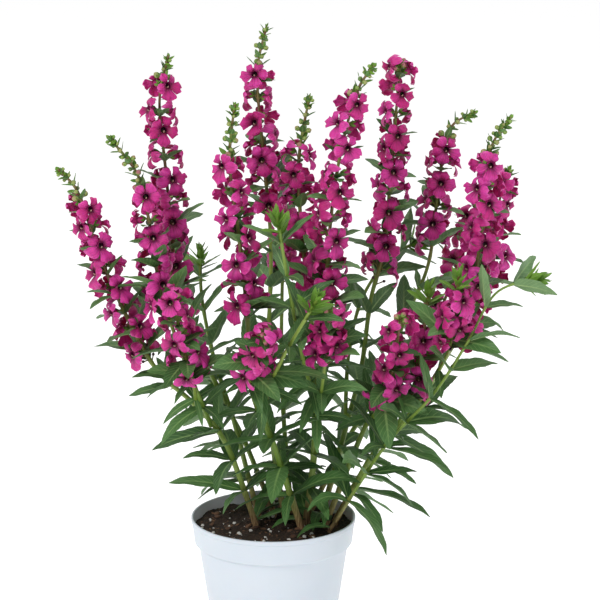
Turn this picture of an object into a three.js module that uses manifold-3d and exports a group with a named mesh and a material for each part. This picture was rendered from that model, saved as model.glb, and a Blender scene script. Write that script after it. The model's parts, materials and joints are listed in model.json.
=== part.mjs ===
// Potted summer snapdragon: a plastic nursery pot filled with potting soil, thirteen leafy stems that
// branch above it, and twenty spikes of five-petalled magenta flowers.
// Millimetres, +Z up. The origin is the centre of the underside of the pot. -Y faces the viewer.
import * as THREE from "three";
import Module from "manifold-3d";
import { mergeVertices } from "three/addons/utils/BufferGeometryUtils.js";

const wasm = await Module();
wasm.setup();

// Driving dimensions
const POT_HEIGHT = 118;
const POT_TOP_R = 65; // outside, at the rim
const POT_BAND_HEIGHT = 20; // the thicker collar under the rim
const POT_BAND_R = 62.4; // outside, at the collar's lower edge
const POT_WALL_R = 59.2; // outside, just below the collar
const POT_BASE_R = 44.8;
const POT_WALL = 1.6;
const POT_FLOOR = 2.4;
const POT_LEDGE = 1.5; // how far the collar's underside slopes
const INNER_LEDGE = 1;
const RIM_ROUND = 0.8;
const POT_SIDES = 32;
const DRAIN_HOLES = 4;
const DRAIN_R = 4;
const DRAIN_AT_R = 28;

const GAP = 0.3; // left between pieces that touch
const CUT = 0.5; // how much fatter a leaf or flower is made to cut back what crosses it
const SOIL_LEVEL = 110;
const SOIL_BUMP = 1.4;
const STEM_FOOT = 94; // how deep the stems stand in the soil, upright as far as their first points

const CURVE_STEPS = 12; // straight stretches between two points of a shoot
const RIB_STEPS = 12; // and along the middle of a leaf
const STEM_STEP = 34; // the furthest apart that a stem's rings of corners are
const SLEEVE_STEP = 25; // and inside a sleeve
const JOINT_HALF = 0.9; // half the height of a leaf's root
const WHORL_HALF = 1.3; // half the height of a flower's root
const STEM_TIP = 3;

const LEAF_SPACING = 28; // between pairs of leaves along a stem
const LEAF_ASPECT = 0.22; // width over length of a stem's lowest leaves
const LEAF_BROADER = 0.12; // how much more it is for the highest
const SECOND_PAIR = 0.78; // the size of the leaves across a joint's first pair, over that pair's
const SECOND_BELOW = 240; // the height up to which joints have a second pair
const SMALLER = 0.65; // a leaf that finds no room is tried again at this share of its size
const SHORT_LEAF = 52; // up to this length a leaf has one bend, and past it two
const SMALL_DROOP = 0.1; // of the small leaves at the tips
const RIB_THICKNESS = 1.1;
const LIP_ANGLE = 20; // how far the two corners at the edge of a fattened blade are parted
const BUD_SPACING = 10;
const BUD_LENGTH = 8.5;
const BUD_WIDTH = 4.6;
const BRACT_LENGTH = 12.5;
const BRACT_WIDTH = 5.4;
const BUD_TRIES = [[0, 20, -20], [0, 20], 0]; // turns, lifts and least room for what the tips carry
const CROWN_PAIRS = 3;
const CROWN_LENGTH = 20;
const CROWN_ASPECT = 0.4;

const FLOWER_R = 11.8; // from the throat to the tip of a side petal
const FLOWER_REACH = 10.5; // from the middle of the stem to the throat
const FLOWER_RISE = 3; // of the throat over the flower's root
const THROAT_DEPTH = 2;
const SLEEVE = 1.8; // from a stem's corners to its sleeve's
const HOLLOW = GAP * Math.SQRT2; // from a stem's corners to a hollow that leaves the gap at its sides
const SLEEVE_END = 2.2; // past the first and last flowers
const PETAL_NOTCH = 0.56; // how far out the petals part, over the flower's radius
const FLOWER_LIMIT = -0.6; // the least room that a flower is kept with

// Petals: the way that each points, clockwise from straight up, its length over the flower's radius, and
// how far its tip leans forward. The upper lip's two petals are drawn as one.
const PETALS = [
  { angle: 0, size: 0.92, forward: -1.0 },
  { angle: 98, size: 1.0, forward: 0.4 },
  { angle: 180, size: 1.12, forward: 1.6 },
  { angle: 262, size: 1.0, forward: 0.4 },
];

// Keeping clear
const CLEAR = 0.6; // wanted between pieces
const KIN_SLACK = 0.6; // how much closer the pieces of two shoots in one node may come
const NEAR = 4;
const FAR = 99;
const BLADE_CAPSULE_R = 0.28; // over the blade's width
const TIP_CAPSULE_R = 0.16;
const PETAL_CAPSULE_R = 2.4;
const PETAL_CAPSULE_REACH = 0.8;
const FUNNEL_START = 3.5;
const FUNNEL_CAPSULE_R = 1;
const RIM_INSIDE = 56;
const RIM_OUTSIDE = 68;
const OVER_RIM = POT_HEIGHT + 1.5;
const OVER_SOIL = SOIL_LEVEL + 2;

// Each shoot is a curve through its points, from its root to its tip. plant is the stem that it belongs to,
// and from is the shoot that it branches off. r is its radius at either end. leaves is the height of its
// lowest leaves, and the length of those and of its highest. bloom is the heights between which it flowers,
// step is how far apart its pairs of flowers are, and az is the way that its first pair faces.
const SHOOTS = [
  {
    name: "a", plant: 1, from: null, r: [2.4, 0.9],
    leaves: [115, 68, 39], bloom: [262, 370], step: 17.5, az: 40, tip: "buds",
    points: [
      [-14, -4, 112], [-36, -12, 179], [-59, -20, 213], [-89, -26, 244], [-111, -30, 287],
      [-132, -32, 339], [-145, -32, 382], [-159, -34, 400],
    ],
  },
  {
    name: "b", plant: 1, from: "a", r: [1.8, 0.9],
    leaves: [215, 47, 36], bloom: [300, 378], step: 16.5, az: 10, tip: "buds",
    points: [
      [-48, -16, 196], [-60, -38, 236], [-75, -46, 281], [-86, -44, 322], [-93, -38, 367],
      [-101, -34, 398], [-121, -36, 425],
    ],
  },
  {
    name: "a_low", plant: 1, from: "a", r: [1.6, 1.0],
    leaves: [222, 41, 34], bloom: [250, 308], step: 15, az: 70, tip: "none",
    points: [
      [-59, -20, 213], [-60, -50, 242], [-66, -66, 272], [-73, -75, 312],
    ],
  },
  {
    name: "p", plant: 2, from: null, r: [2.3, 1.2],
    leaves: [115, 64, 39], bloom: null, step: 0, az: 0, tip: "leafy",
    points: [
      [-12, 14, 112], [-32, 30, 188], [-47, 42, 233], [-57, 50, 282], [-58, 50, 322],
    ],
  },
  {
    name: "c", plant: 2, from: "p", r: [2.0, 0.9],
    leaves: [216, 53, 39], bloom: [300, 455], step: 16.5, az: 25, tip: "buds",
    points: [
      [-37, 34, 200], [-58, 27, 242], [-77, 16, 284], [-78, 10, 338], [-82, 8, 393], [-86, 8, 446],
      [-79, 6, 480],
    ],
  },
  {
    name: "d", plant: 3, from: null, r: [2.7, 0.9],
    leaves: [115, 68, 39], bloom: [300, 404], step: 16.5, az: 55, tip: "buds",
    points: [
      [22, -12, 112], [0, -24, 185], [-16, -36, 232], [-19, -46, 296], [-25, -52, 358], [-31, -54, 410],
      [-27, -56, 452],
    ],
  },
  {
    name: "o", plant: 3, from: "d", r: [1.7, 1.2],
    leaves: [236, 45, 34], bloom: null, step: 0, az: 20, tip: "leafy",
    points: [
      [-14, -34, 226], [-1, -62, 245], [12, -82, 275], [34, -104, 318],
    ],
  },
  {
    name: "d_low", plant: 3, from: "d", r: [1.5, 1.0],
    leaves: [240, 34, 32], bloom: [254, 284], step: 12, az: 60, tip: "none",
    points: [
      [-16, -36, 232], [-16, -62, 252], [-4, -94, 288],
    ],
  },
  {
    name: "e", plant: 4, from: null, r: [2.4, 0.9],
    leaves: [130, 64, 39], bloom: [362, 460], step: 16, az: 80, tip: "buds",
    points: [
      [9, 7, 112], [-1, 18, 174], [-7, 26, 230], [-3, 32, 277], [-2, 36, 333], [-7, 38, 396],
      [-12, 38, 462], [-5, 38, 499],
    ],
  },
  {
    name: "f", plant: 5, from: null, r: [3.0, 0.9],
    leaves: [115, 68, 39], bloom: [318, 404], step: 16, az: 70, tip: "buds",
    points: [
      [26, 1, 112], [32, -4, 170], [32, -8, 231], [29, -10, 287], [23, -8, 342], [20, -3, 400],
      [28, 0, 450],
    ],
  },
  {
    name: "g", plant: 5, from: "f", r: [2.0, 0.9],
    leaves: [222, 49, 39], bloom: [300, 448], step: 16, az: 30, tip: "buds",
    points: [
      [32, -6, 202], [39, -24, 259], [41, -38, 313], [44, -44, 364], [51, -44, 414], [63, -42, 460],
      [75, -42, 479],
    ],
  },
  {
    name: "n", plant: 5, from: "f", r: [1.7, 1.2],
    leaves: [232, 45, 34], bloom: null, step: 0, az: 60, tip: "leafy",
    points: [
      [32, -7, 214], [21, -44, 268], [13, -68, 318], [4, -80, 375],
    ],
  },
  {
    name: "f_low", plant: 5, from: "f", r: [1.6, 1.0],
    leaves: [206, 41, 32], bloom: [268, 300], step: 12.5, az: 40, tip: "none",
    points: [
      [32, -5, 189], [38, -48, 238], [44, -80, 300],
    ],
  },
  {
    name: "m", plant: 6, from: "h", r: [1.8, 1.1],
    leaves: [216, 49, 39], bloom: null, step: 0, az: 0, tip: "leafy",
    points: [
      [57, 26, 184], [60, 46, 238], [72, 66, 281], [97, 80, 312], [123, 86, 322],
    ],
  },
  {
    name: "h", plant: 6, from: null, r: [2.5, 0.9],
    leaves: [115, 66, 39], bloom: [310, 464], step: 15, az: 15, tip: "none",
    points: [
      [38, 12, 112], [57, 26, 180], [70, 34, 231], [77, 38, 284], [87, 38, 324], [91, 36, 373],
      [98, 30, 471],
    ],
  },
  {
    name: "i", plant: 7, from: null, r: [2.4, 0.8],
    leaves: [115, 66, 44], bloom: [326, 402], step: 16.5, az: 5, tip: "buds",
    points: [
      [41, -7, 112], [66, 8, 173], [84, 24, 210], [103, 42, 263], [123, 56, 308], [130, 60, 362],
      [138, 60, 415], [158, 58, 430],
    ],
  },
  {
    name: "i_low", plant: 7, from: "i", r: [1.6, 1.0],
    leaves: [198, 38, 34], bloom: [222, 284], step: 16, az: 35, tip: "none",
    points: [
      [75, 14, 189], [86, -26, 222], [92, -48, 254], [96, -62, 292],
    ],
  },
  {
    name: "j", plant: 8, from: null, r: [2.5, 0.8],
    leaves: [115, 68, 44], bloom: [262, 400], step: 16, az: 20, tip: "buds",
    points: [
      [49, 3, 112], [80, 4, 169], [109, 0, 204], [137, -8, 255], [153, -16, 304], [160, -18, 362],
      [165, -16, 413], [179, -18, 437],
    ],
  },
  {
    name: "k", plant: 8, from: "j", r: [1.6, 0.8],
    leaves: [262, 38, 34], bloom: [304, 374], step: 16.5, az: 60, tip: "buds",
    points: [
      [135, -7, 250], [158, 22, 280], [174, 37, 318], [177, 40, 360], [184, 40, 388],
    ],
  },
  {
    name: "j_low", plant: 8, from: "j", r: [1.7, 1.0],
    leaves: [212, 43, 34], bloom: [226, 282], step: 14, az: 5, tip: "leafy",
    points: [
      [98, 2, 192], [109, -12, 226], [115, -22, 262], [119, -30, 310],
    ],
  },
  {
    name: "q", plant: 8, from: "j", r: [1.4, 1.0],
    leaves: [242, 34, 32], bloom: [276, 306], step: 12, az: 30, tip: "leafy",
    points: [
      [123, -4, 228], [134, -40, 262], [137, -60, 296], [139, -66, 328],
    ],
  },
  {
    name: "l", plant: 9, from: null, r: [1.9, 1.0],
    leaves: [115, 66, 39], bloom: null, step: 0, az: 0, tip: "leafy",
    points: [
      [44, -21, 112], [86, -38, 186], [121, -52, 230], [146, -58, 272], [168, -58, 312], [202, -54, 322],
    ],
  },
  {
    name: "x1", plant: 10, from: null, r: [2.3, 0.9],
    leaves: [115, 64, 39], bloom: [300, 376], step: 20, az: 0, tip: "buds",
    points: [
      [14, 27, 112], [8, 62, 177], [6, 82, 240], [7, 94, 304], [8, 98, 392],
    ],
  },
  {
    name: "x2", plant: 11, from: null, r: [2.3, 0.9],
    leaves: [115, 64, 39], bloom: [258, 336], step: 20, az: 45, tip: "buds",
    points: [
      [29, 25, 112], [64, 70, 167], [102, 98, 211], [137, 110, 259], [166, 112, 352],
    ],
  },
  {
    name: "x3", plant: 12, from: null, r: [2.3, 0.9],
    leaves: [115, 64, 39], bloom: [266, 342], step: 20, az: 20, tip: "buds",
    points: [
      [0, 23, 112], [-28, 60, 170], [-57, 88, 213], [-77, 98, 270], [-88, 98, 356],
    ],
  },
];

// Vectors as plain arrays
const add = (a, b) => [a[0] + b[0], a[1] + b[1], a[2] + b[2]];
const sub = (a, b) => [a[0] - b[0], a[1] - b[1], a[2] - b[2]];
const mul = (a, k) => [a[0] * k, a[1] * k, a[2] * k];
const dot = (a, b) => a[0] * b[0] + a[1] * b[1] + a[2] * b[2];
const cross = (a, b) => [a[1] * b[2] - a[2] * b[1], a[2] * b[0] - a[0] * b[2], a[0] * b[1] - a[1] * b[0]];
const length = (a) => Math.sqrt(dot(a, a));
const unit = (a) => mul(a, 1 / length(a));
const mix = (a, b, k) => add(mul(a, 1 - k), mul(b, k));
const rad = (degrees) => (degrees * Math.PI) / 180;
const turn = (degrees) => ((degrees % 360) + 360) % 360;

// A seeded draw from 0 to 1 for draw i of shoot k, the same in every run.
function draw(k, i) {
  let s = (Math.imul(k + 11, 374761393) + Math.imul(i + 7, 668265263)) >>> 0;
  s = Math.imul(s ^ (s >>> 13), 1274126177) >>> 0;
  return ((s ^ (s >>> 16)) >>> 0) / 4294967296;
}

// The shoots' curves
function catmull(p0, p1, p2, p3, k) {
  const c1 = mul(sub(p2, p0), 0.5);
  const c2 = add(sub(p0, mul(p1, 2.5)), sub(mul(p2, 2), mul(p3, 0.5)));
  const c3 = add(mul(sub(p3, p0), 0.5), mul(sub(p1, p2), 1.5));
  return add(p1, add(mul(c1, k), add(mul(c2, k * k), mul(c3, k * k * k))));
}

function layOut(shoot, index) {
  const p = shoot.points;
  const line = [p[0]];
  for (let i = 0; i + 1 < p.length; i++) {
    const before = p[Math.max(i - 1, 0)];
    const after = p[Math.min(i + 2, p.length - 1)];
    for (let n = 1; n <= CURVE_STEPS; n++) {
      line.push(catmull(before, p[i], p[i + 1], after, n / CURVE_STEPS));
    }
  }
  const run = [0];
  for (let i = 1; i < line.length; i++) run.push(run[i - 1] + length(sub(line[i], line[i - 1])));
  const last = line.length - 1;
  const slope = line.map((_, i) => unit(sub(line[Math.min(i + 1, last)], line[Math.max(i - 1, 0)])));
  if (!shoot.from) slope[0] = [0, 0, 1];
  Object.assign(shoot, { index, line, run, slope, total: run[last], green: [], whorls: [] });
}

// The point, direction and radius of a shoot at a distance s along it.
function at(shoot, s) {
  const { line, run, slope, total, r } = shoot;
  let i = 1;
  while (i < run.length - 1 && run[i] < s) i++;
  const k = (s - run[i - 1]) / (run[i] - run[i - 1]);
  const radius = r[0] + ((r[1] - r[0]) * s) / total;
  return { p: mix(line[i - 1], line[i], k), t: unit(mix(slope[i - 1], slope[i], k)), r: radius };
}

// How far along a shoot a height is first reached.
function reach(shoot, z) {
  const { line, run } = shoot;
  const i = Math.max(line.findIndex((p) => p[2] >= z), 1);
  return run[i - 1] + ((run[i] - run[i - 1]) * (z - line[i - 1][2])) / (line[i][2] - line[i - 1][2]);
}

// The direction straight out of a stem at an angle round it. On an upright stem 270 faces the viewer.
function outward(t, azimuth) {
  const u = unit(sub([1, 0, 0], mul(t, t[0])));
  const v = cross(t, u);
  return add(mul(u, Math.cos(rad(azimuth))), mul(v, Math.sin(rad(azimuth))));
}

// The direction of a piece that leaves a stem at an angle round it and a pitch above straight out.
function leaving(t, azimuth, pitch) {
  return unit(add(mul(outward(t, azimuth), Math.cos(rad(pitch))), mul(t, Math.sin(rad(pitch)))));
}

// The middle line of a blade, which droops more and more towards its tip.
function midrib(item) {
  const { p, t } = at(item.shoot, item.s);
  const start = leaving(t, item.azimuth, item.pitch);
  const droop = item.droop * Math.hypot(start[0], start[1]);
  const points = [p];
  const directions = [start];
  for (let n = 1; n <= RIB_STEPS; n++) {
    const u = n / RIB_STEPS;
    const d = unit(add(start, [0, 0, -droop * u * u]));
    directions.push(d);
    points.push(add(points[n - 1], mul(d, item.length / RIB_STEPS)));
  }
  return { points, directions, side: unit(cross(t, start)) };
}

function alongRib(rib, u) {
  const i = Math.min(Math.floor(u * RIB_STEPS), RIB_STEPS - 1);
  const k = u * RIB_STEPS - i;
  const d = unit(mix(rib.directions[i], rib.directions[i + 1], k));
  return { p: mix(rib.points[i], rib.points[i + 1], k), d };
}

// Where a blade bends: the shares of its length that its corners are at
const bends = (item) => (item.length > SHORT_LEAF ? [0, 0.32, 0.7, 1] : [0, 0.45, 1]);

// A point of the straight stretches between a blade's bends
function alongBends(item, rib, u) {
  const stops = bends(item);
  const i = Math.max(stops.findIndex((stop) => stop >= u), 1);
  const k = (u - stops[i - 1]) / (stops[i] - stops[i - 1]);
  return mix(alongRib(rib, stops[i - 1]).p, alongRib(rib, stops[i]).p, k);
}

// Half the width of a blade at a share u of its length.
const halfWidth = (item, u) => (item.width / 2) * 2.557 * Math.pow(u, 0.55) * Math.pow(1 - u, 0.85);

// Where a flower sits and faces: its throat, and up and right as seen from its front.
function flowerFrame(item) {
  const { p, t } = at(item.shoot, item.s);
  const out = outward(t, item.azimuth);
  const face = leaving(t, item.azimuth, item.pitch);
  const up = unit(sub(t, mul(face, dot(t, face))));
  const throat = add(p, add(mul(out, item.reach), mul(t, item.rise)));
  return { p, out, face, up, right: cross(up, face), throat };
}

function petalPoint(frame, angle, radius, forward) {
  const across = mul(frame.right, Math.sin(rad(angle)) * radius);
  const upward = mul(frame.up, Math.cos(rad(angle)) * radius);
  return add(frame.throat, add(across, add(upward, mul(frame.face, forward))));
}

// What a piece takes up, as capsules: two ends and a radius each.
function capsules(item) {
  if (item.kind === "flower") {
    const f = flowerFrame(item);
    const root = add(f.p, mul(f.out, FUNNEL_START));
    return PETALS.flatMap((petal) => {
      const tip = petalPoint(f, petal.angle, petal.size * item.size * PETAL_CAPSULE_REACH, petal.forward);
      return [[f.throat, tip, PETAL_CAPSULE_R], [root, tip, FUNNEL_CAPSULE_R]];
    });
  }
  if (item.kind === "bud") {
    const { p, t } = at(item.shoot, item.s);
    const d = leaving(t, item.azimuth, item.pitch);
    return [[add(p, mul(d, 2)), add(p, mul(d, item.length)), item.width / 2]];
  }
  const rib = midrib(item);
  const cuts = item.kind === "leaf" ? [0.06, 0.3, 0.55, 0.8, 1] : [0.15, 0.55, 1];
  const ends = cuts.map((u) => alongBends(item, rib, u));
  const fat = (i) => item.width * (i + 2 < cuts.length ? BLADE_CAPSULE_R : TIP_CAPSULE_R);
  return ends.slice(1).map((end, i) => [ends[i], end, fat(i)]);
}

// The least distance between two straight stretches
function stretchDistance(p1, q1, p2, q2) {
  const d1 = sub(q1, p1);
  const d2 = sub(q2, p2);
  const r = sub(p1, p2);
  const [a, b, c, e, f] = [dot(d1, d1), dot(d1, d2), dot(d1, r), dot(d2, d2), dot(d2, r)];
  const spread = a * e - b * b;
  let s = spread > 1e-9 ? Math.min(Math.max((b * f - c * e) / spread, 0), 1) : 0;
  const free = (b * s + f) / e;
  const t = Math.min(Math.max(free, 0), 1);
  if (t !== free) s = Math.min(Math.max((b * t - c) / a, 0), 1);
  return length(sub(add(p1, mul(d1, s)), add(p2, mul(d2, t))));
}

// Everything placed so far, for what comes later to keep clear of
const placed = [];
const STEM = "stem"; // stands in place of a joint for a stretch of stem

function takeUp(node, shoot, list, joint) {
  const ends = list.flatMap(([a, b]) => [a, b]);
  const low = [0, 1, 2].map((i) => Math.min(...ends.map((p) => p[i])));
  const high = [0, 1, 2].map((i) => Math.max(...ends.map((p) => p[i])));
  const fattest = Math.max(...list.map((capsule) => capsule[2]));
  const extent = length(sub(high, low)) / 2 + fattest;
  placed.push({ node, shoot, list, joint, middle: mix(low, high, 0.5), extent });
}

// The least room between a piece and what is placed already, the soil and the pot's rim.
function room(item) {
  let least = FAR;
  for (const [n, [a, b, r]] of capsules(item).entries()) {
    for (const k of [0, 0.25, 0.5, 0.75, 1]) {
      const spot = mix(a, b, k);
      const out = Math.hypot(spot[0], spot[1]);
      const floor = out > RIM_OUTSIDE ? 0 : out > RIM_INSIDE ? OVER_RIM : OVER_SOIL;
      least = Math.min(least, spot[2] - r / 2 - floor);
    }
    const middle = mix(a, b, 0.5);
    const half = length(sub(b, a)) / 2 + r;
    for (const other of placed) {
      if (length(sub(other.middle, middle)) > half + other.extent + NEAR) continue;
      const own = other.shoot === item.shoot;
      const ownStem = own && other.joint === STEM;
      if (ownStem && (n === 0 || item.kind === "flower")) continue;
      const sister = own && other.joint === item.joint;
      if (sister && n === 0) continue;
      const slack = other.node === item.node && !own ? KIN_SLACK : 0;
      const list = sister ? other.list.slice(1) : other.list;
      for (const [c, d, q] of list) least = Math.min(least, stretchDistance(a, b, c, d) - r - q + slack);
    }
  }
  return least;
}

// Tries a piece at each lift and turn in order and keeps the first that is clear, or else the best above a
// limit
function settle(item, turns, lifts, limit) {
  let best = { space: limit, tried: null };
  for (const lift of lifts) {
    for (const turned of turns) {
      const tried = { ...item, azimuth: item.azimuth + turned, pitch: item.pitch + lift };
      const space = room(tried);
      if (space >= CLEAR || space > best.space) best = { space, tried };
      if (space >= CLEAR) break;
    }
    if (best.space >= CLEAR) break;
  }
  if (best.tried) takeUp(item.node, item.shoot, capsules(best.tried), item.joint);
  return best.tried;
}

// A joint is a place along a shoot, the way that its first side faces, and a piece or null on each side.
const greenNode = (shoot) => "leafy_stem_" + shoot.plant;
const bloomNode = (shoot) => "flowers_" + shoot.name;

const newJoint = (s, azimuth) => ({ s, azimuth, items: [null, null, null, null] });

function fill(joint, sides, grow) {
  for (const side of sides) joint.items[side] = grow(side, joint.azimuth + 90 * side);
}

function placeFlowers(shoot) {
  const [start, end] = shoot.bloom.map((z) => reach(shoot, z));
  const count = Math.round((end - start) / shoot.step);
  for (let w = 0; w <= count; w++) {
    const young = w / count;
    const noise = (k) => draw(shoot.index, 100 + w * 4 + k) - 0.5;
    const s = start + (end - start) * young;
    const joint = newJoint(s, shoot.az + 90 * w + noise(0) * 24);
    fill(joint, [0, 2], (side, azimuth) => {
      const item = {
        kind: "flower", node: bloomNode(shoot), shoot, s, joint,
        azimuth: azimuth + noise(600 + side) * 20,
        pitch: 3 + noise(200 + side) * 22,
        size: FLOWER_R * (1.05 - 0.14 * young + noise(400 + side) * 0.14),
        reach: FLOWER_REACH * (1.05 - 0.2 * young + noise(800 + side) * 0.16),
        rise: FLOWER_RISE + noise(1000 + side) * 6,
      };
      return settle(item, [0, 8, -8, 16, -16, 24, -24], [0, 12, -12], FLOWER_LIMIT);
    });
    shoot.whorls.push(joint);
  }
}

// The joints of a shoot's leaves, which carry no leaf yet
function placeLeafJoints(shoot) {
  const start = reach(shoot, shoot.leaves[0]);
  const end = shoot.bloom ? reach(shoot, shoot.bloom[0]) - 11 : shoot.total - 22;
  const count = Math.max(Math.round((end - start) / LEAF_SPACING), 1);
  for (let w = 0; w <= count; w++) {
    const azimuth = shoot.az + 45 + 90 * w + (draw(shoot.index, 1000 + w) - 0.5) * 30;
    const up = w / count;
    shoot.green.push({ ...newJoint(start + (end - start) * up, azimuth), w, up });
  }
}

function placeLeaves(shoot, sides, share) {
  const [, longest, shortest] = shoot.leaves;
  for (const joint of shoot.green) {
    const { w, up, s } = joint;
    if (share < 1 && at(shoot, s).p[2] > SECOND_BELOW) continue;
    fill(joint, sides, (side, azimuth) => {
      const noise = (k) => draw(shoot.index, 2000 + w * 4 + side + k) - 0.5;
      const size = share * (longest + (shortest - longest) * up) * (1 + 0.28 * noise(200));
      const item = {
        kind: "leaf", node: greenNode(shoot), shoot, s, azimuth, joint,
        pitch: 12 + 30 * up + noise(400) * 26,
        length: size,
        width: size * (LEAF_ASPECT + LEAF_BROADER * up) * (1 + 0.4 * noise(600)),
        droop: (0.8 + noise(800)) * (1.2 - 0.8 * up),
      };
      const smaller = { ...item, length: size * SMALLER, width: item.width * SMALLER };
      const lifts = [0, 12, -12, 24, -24, 36, -36, 48];
      const found = settle(item, [0, 12, -12, 24, -24], lifts, CLEAR);
      return found ?? settle(smaller, [0, 12, -12, 24, -24], lifts, CLEAR);
    });
  }
}

// Buds with the smallest leaves across them, from the last flowers up to the tip
function placeBuds(shoot) {
  const start = reach(shoot, shoot.bloom[1]) + 8;
  const end = shoot.total - 3;
  const count = Math.max(Math.floor((end - start) / BUD_SPACING), 1);
  for (let w = 0; w <= count; w++) {
    const up = w / count;
    const young = 1 - 0.4 * up;
    const s = start + (end - start) * up;
    const azimuth = shoot.az + 90 * w + (draw(shoot.index, 4000 + w) - 0.5) * 30;
    const joint = newJoint(s, azimuth);
    const shared = { node: greenNode(shoot), shoot, s, joint, droop: SMALL_DROOP };
    fill(joint, [0, 2], (side, turned) => {
      const size = { length: BUD_LENGTH * young, width: BUD_WIDTH * young };
      return settle({ ...shared, ...size, kind: "bud", azimuth: turned, pitch: 30 }, ...BUD_TRIES);
    });
    fill(joint, [1, 3], (side, turned) => {
      const size = { length: BRACT_LENGTH * young, width: BRACT_WIDTH * young };
      return settle({ ...shared, ...size, kind: "bract", azimuth: turned, pitch: 42 }, ...BUD_TRIES);
    });
    shoot.green.push(joint);
  }
}

// The close pairs of young leaves at the tip of a shoot without buds
function placeCrown(shoot) {
  for (let w = 0; w < CROWN_PAIRS; w++) {
    const up = w / (CROWN_PAIRS - 1);
    const s = shoot.total - 14 + 12 * up;
    const size = CROWN_LENGTH * (1 - 0.55 * up);
    const joint = newJoint(s, shoot.az + 90 * w);
    fill(joint, [0, 2], (side, azimuth) => {
      const item = {
        kind: "bract", node: greenNode(shoot), shoot, s, joint, azimuth, pitch: 34 + 30 * up,
        length: size, width: size * CROWN_ASPECT, droop: SMALL_DROOP,
      };
      return settle(item, [0, 25, -25], [0, -15, 15], 0);
    });
    shoot.green.push(joint);
  }
}

SHOOTS.forEach(layOut);
for (const shoot of SHOOTS) {
  for (let i = 0; i + 1 < shoot.line.length; i++) {
    const stretch = [shoot.line[i], shoot.line[i + 1], at(shoot, shoot.run[i]).r];
    takeUp(greenNode(shoot), shoot, [stretch], STEM);
  }
}

// The order in which the pieces take up room
const blooming = SHOOTS.filter((shoot) => shoot.bloom);
blooming.forEach(placeFlowers);
SHOOTS.forEach(placeLeafJoints);
SHOOTS.forEach((shoot) => placeLeaves(shoot, [0, 2], 1));
SHOOTS.forEach((shoot) => placeLeaves(shoot, [1, 3], SECOND_PAIR));
SHOOTS.filter((shoot) => shoot.tip === "buds").forEach(placeBuds);
SHOOTS.filter((shoot) => shoot.tip === "leafy").forEach(placeCrown);

// A surface in the making. A loop is a list of corners round it, each with its number and its angle seen
// from outside.
function surface() {
  const points = [];
  const faces = [];
  const corner = ([angle, point]) => ({ angle: turn(angle), n: points.push(point) - 1 });
  const loop = (list) => list.map(corner);
  const byAngle = (list) => [...list].sort((a, b) => a.angle - b.angle);
  // Fills the strip between two loops with triangles, walking round both by angle.
  const stitch = (inner, outer, inward = false) => {
    let [a, b] = [byAngle(inner).at(-1), byAngle(outer).at(-1)];
    for (const next of byAngle([...inner, ...outer])) {
      faces.push(inward ? [a.n, b.n, next.n] : [a.n, next.n, b.n]);
      if (inner.includes(next)) a = next;
      else b = next;
    }
  };
  const point = (list, p) => {
    const tip = points.push(p) - 1;
    const round = byAngle(list);
    round.forEach((corner, i) => faces.push([corner.n, round[(i + 1) % round.length].n, tip]));
  };
  const cap = (list) => {
    const round = byAngle(list);
    for (let i = 1; i + 1 < round.length; i++) faces.push([round[0].n, round[i + 1].n, round[i].n]);
  };
  const quad = (a, b, c, d) => faces.push([a, b, c], [a, c, d]);
  return { points, faces, loop, stitch, point, cap, quad };
}

function solid({ points, faces }) {
  const vertProperties = new Float32Array(points.flat());
  const triVerts = new Uint32Array(faces.flat());
  const made = new wasm.Manifold(new wasm.Mesh({ numProp: 3, vertProperties, triVerts }));
  if (made.volume() <= 0) throw new Error("a surface is inside out");
  return made;
}

// Each of these grows a piece on a surface from a loop at its root. more makes it that much fatter.
const grow = {
  flower(skin, root, item, more) {
    const f = flowerFrame(item);
    const outline = PETALS.flatMap((petal, i) => {
      const next = PETALS[(i + 1) % PETALS.length].angle;
      const notch = (petal.angle + (next < petal.angle ? next + 360 : next)) / 2;
      return [
        [90 - petal.angle, petalPoint(f, petal.angle, petal.size * item.size + more, petal.forward)],
        [90 - notch, petalPoint(f, notch, PETAL_NOTCH * item.size + more, 0)],
      ];
    });
    const rim = skin.loop(outline);
    skin.stitch(root, rim);
    skin.point(rim, petalPoint(f, 0, 0, more - THROAT_DEPTH));
  },
  bud(skin, root, item, more) {
    const { p, t } = at(item.shoot, item.s);
    const d = leaving(t, item.azimuth, item.pitch);
    const right = unit(cross(t, d));
    const up = cross(d, right);
    const middle = add(p, mul(d, item.length - item.width / 2));
    const fat = item.width / 2 + more;
    const ring = skin.loop([45, 135, 225, 315].map((angle) => {
      const way = add(mul(right, Math.cos(rad(angle))), mul(up, Math.sin(rad(angle))));
      return [angle, add(middle, mul(way, fat))];
    }));
    skin.stitch(root, ring);
    skin.point(ring, add(p, mul(d, item.length + more)));
  },
  leaf(skin, root, item, more) {
    const rib = midrib(item);
    const lips = more ? [-1, 1] : [0];
    let inner = root;
    for (const u of bends(item).slice(1, -1)) {
      const { p, d } = alongRib(rib, u);
      const normal = unit(cross(d, rib.side));
      const wide = halfWidth(item, u) + more;
      const spot = (x, y) => add(p, add(mul(rib.side, x), mul(normal, y)));
      const ring = skin.loop([
        [270, spot(0, -RIB_THICKNESS - more)],
        ...lips.map((lip) => [LIP_ANGLE * lip, spot(wide, lip * more)]),
        ...lips.map((lip) => [180 - LIP_ANGLE * lip, spot(-wide, lip * more)]),
      ]);
      skin.stitch(inner, ring);
      inner = ring;
    }
    skin.point(inner, add(rib.points[RIB_STEPS], mul(rib.directions[RIB_STEPS], more)));
  },
};
grow.bract = grow.leaf;

// The four corners of a stem or sleeve round a place on it
function corners(shoot, s, azimuth, thicker) {
  const { p, t, r } = at(shoot, s);
  const corner = (angle) => add(p, mul(outward(t, angle), r + thicker));
  return [-45, 45, 135, 225].map((angle) => [azimuth + angle, corner(azimuth + angle)]);
}

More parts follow.
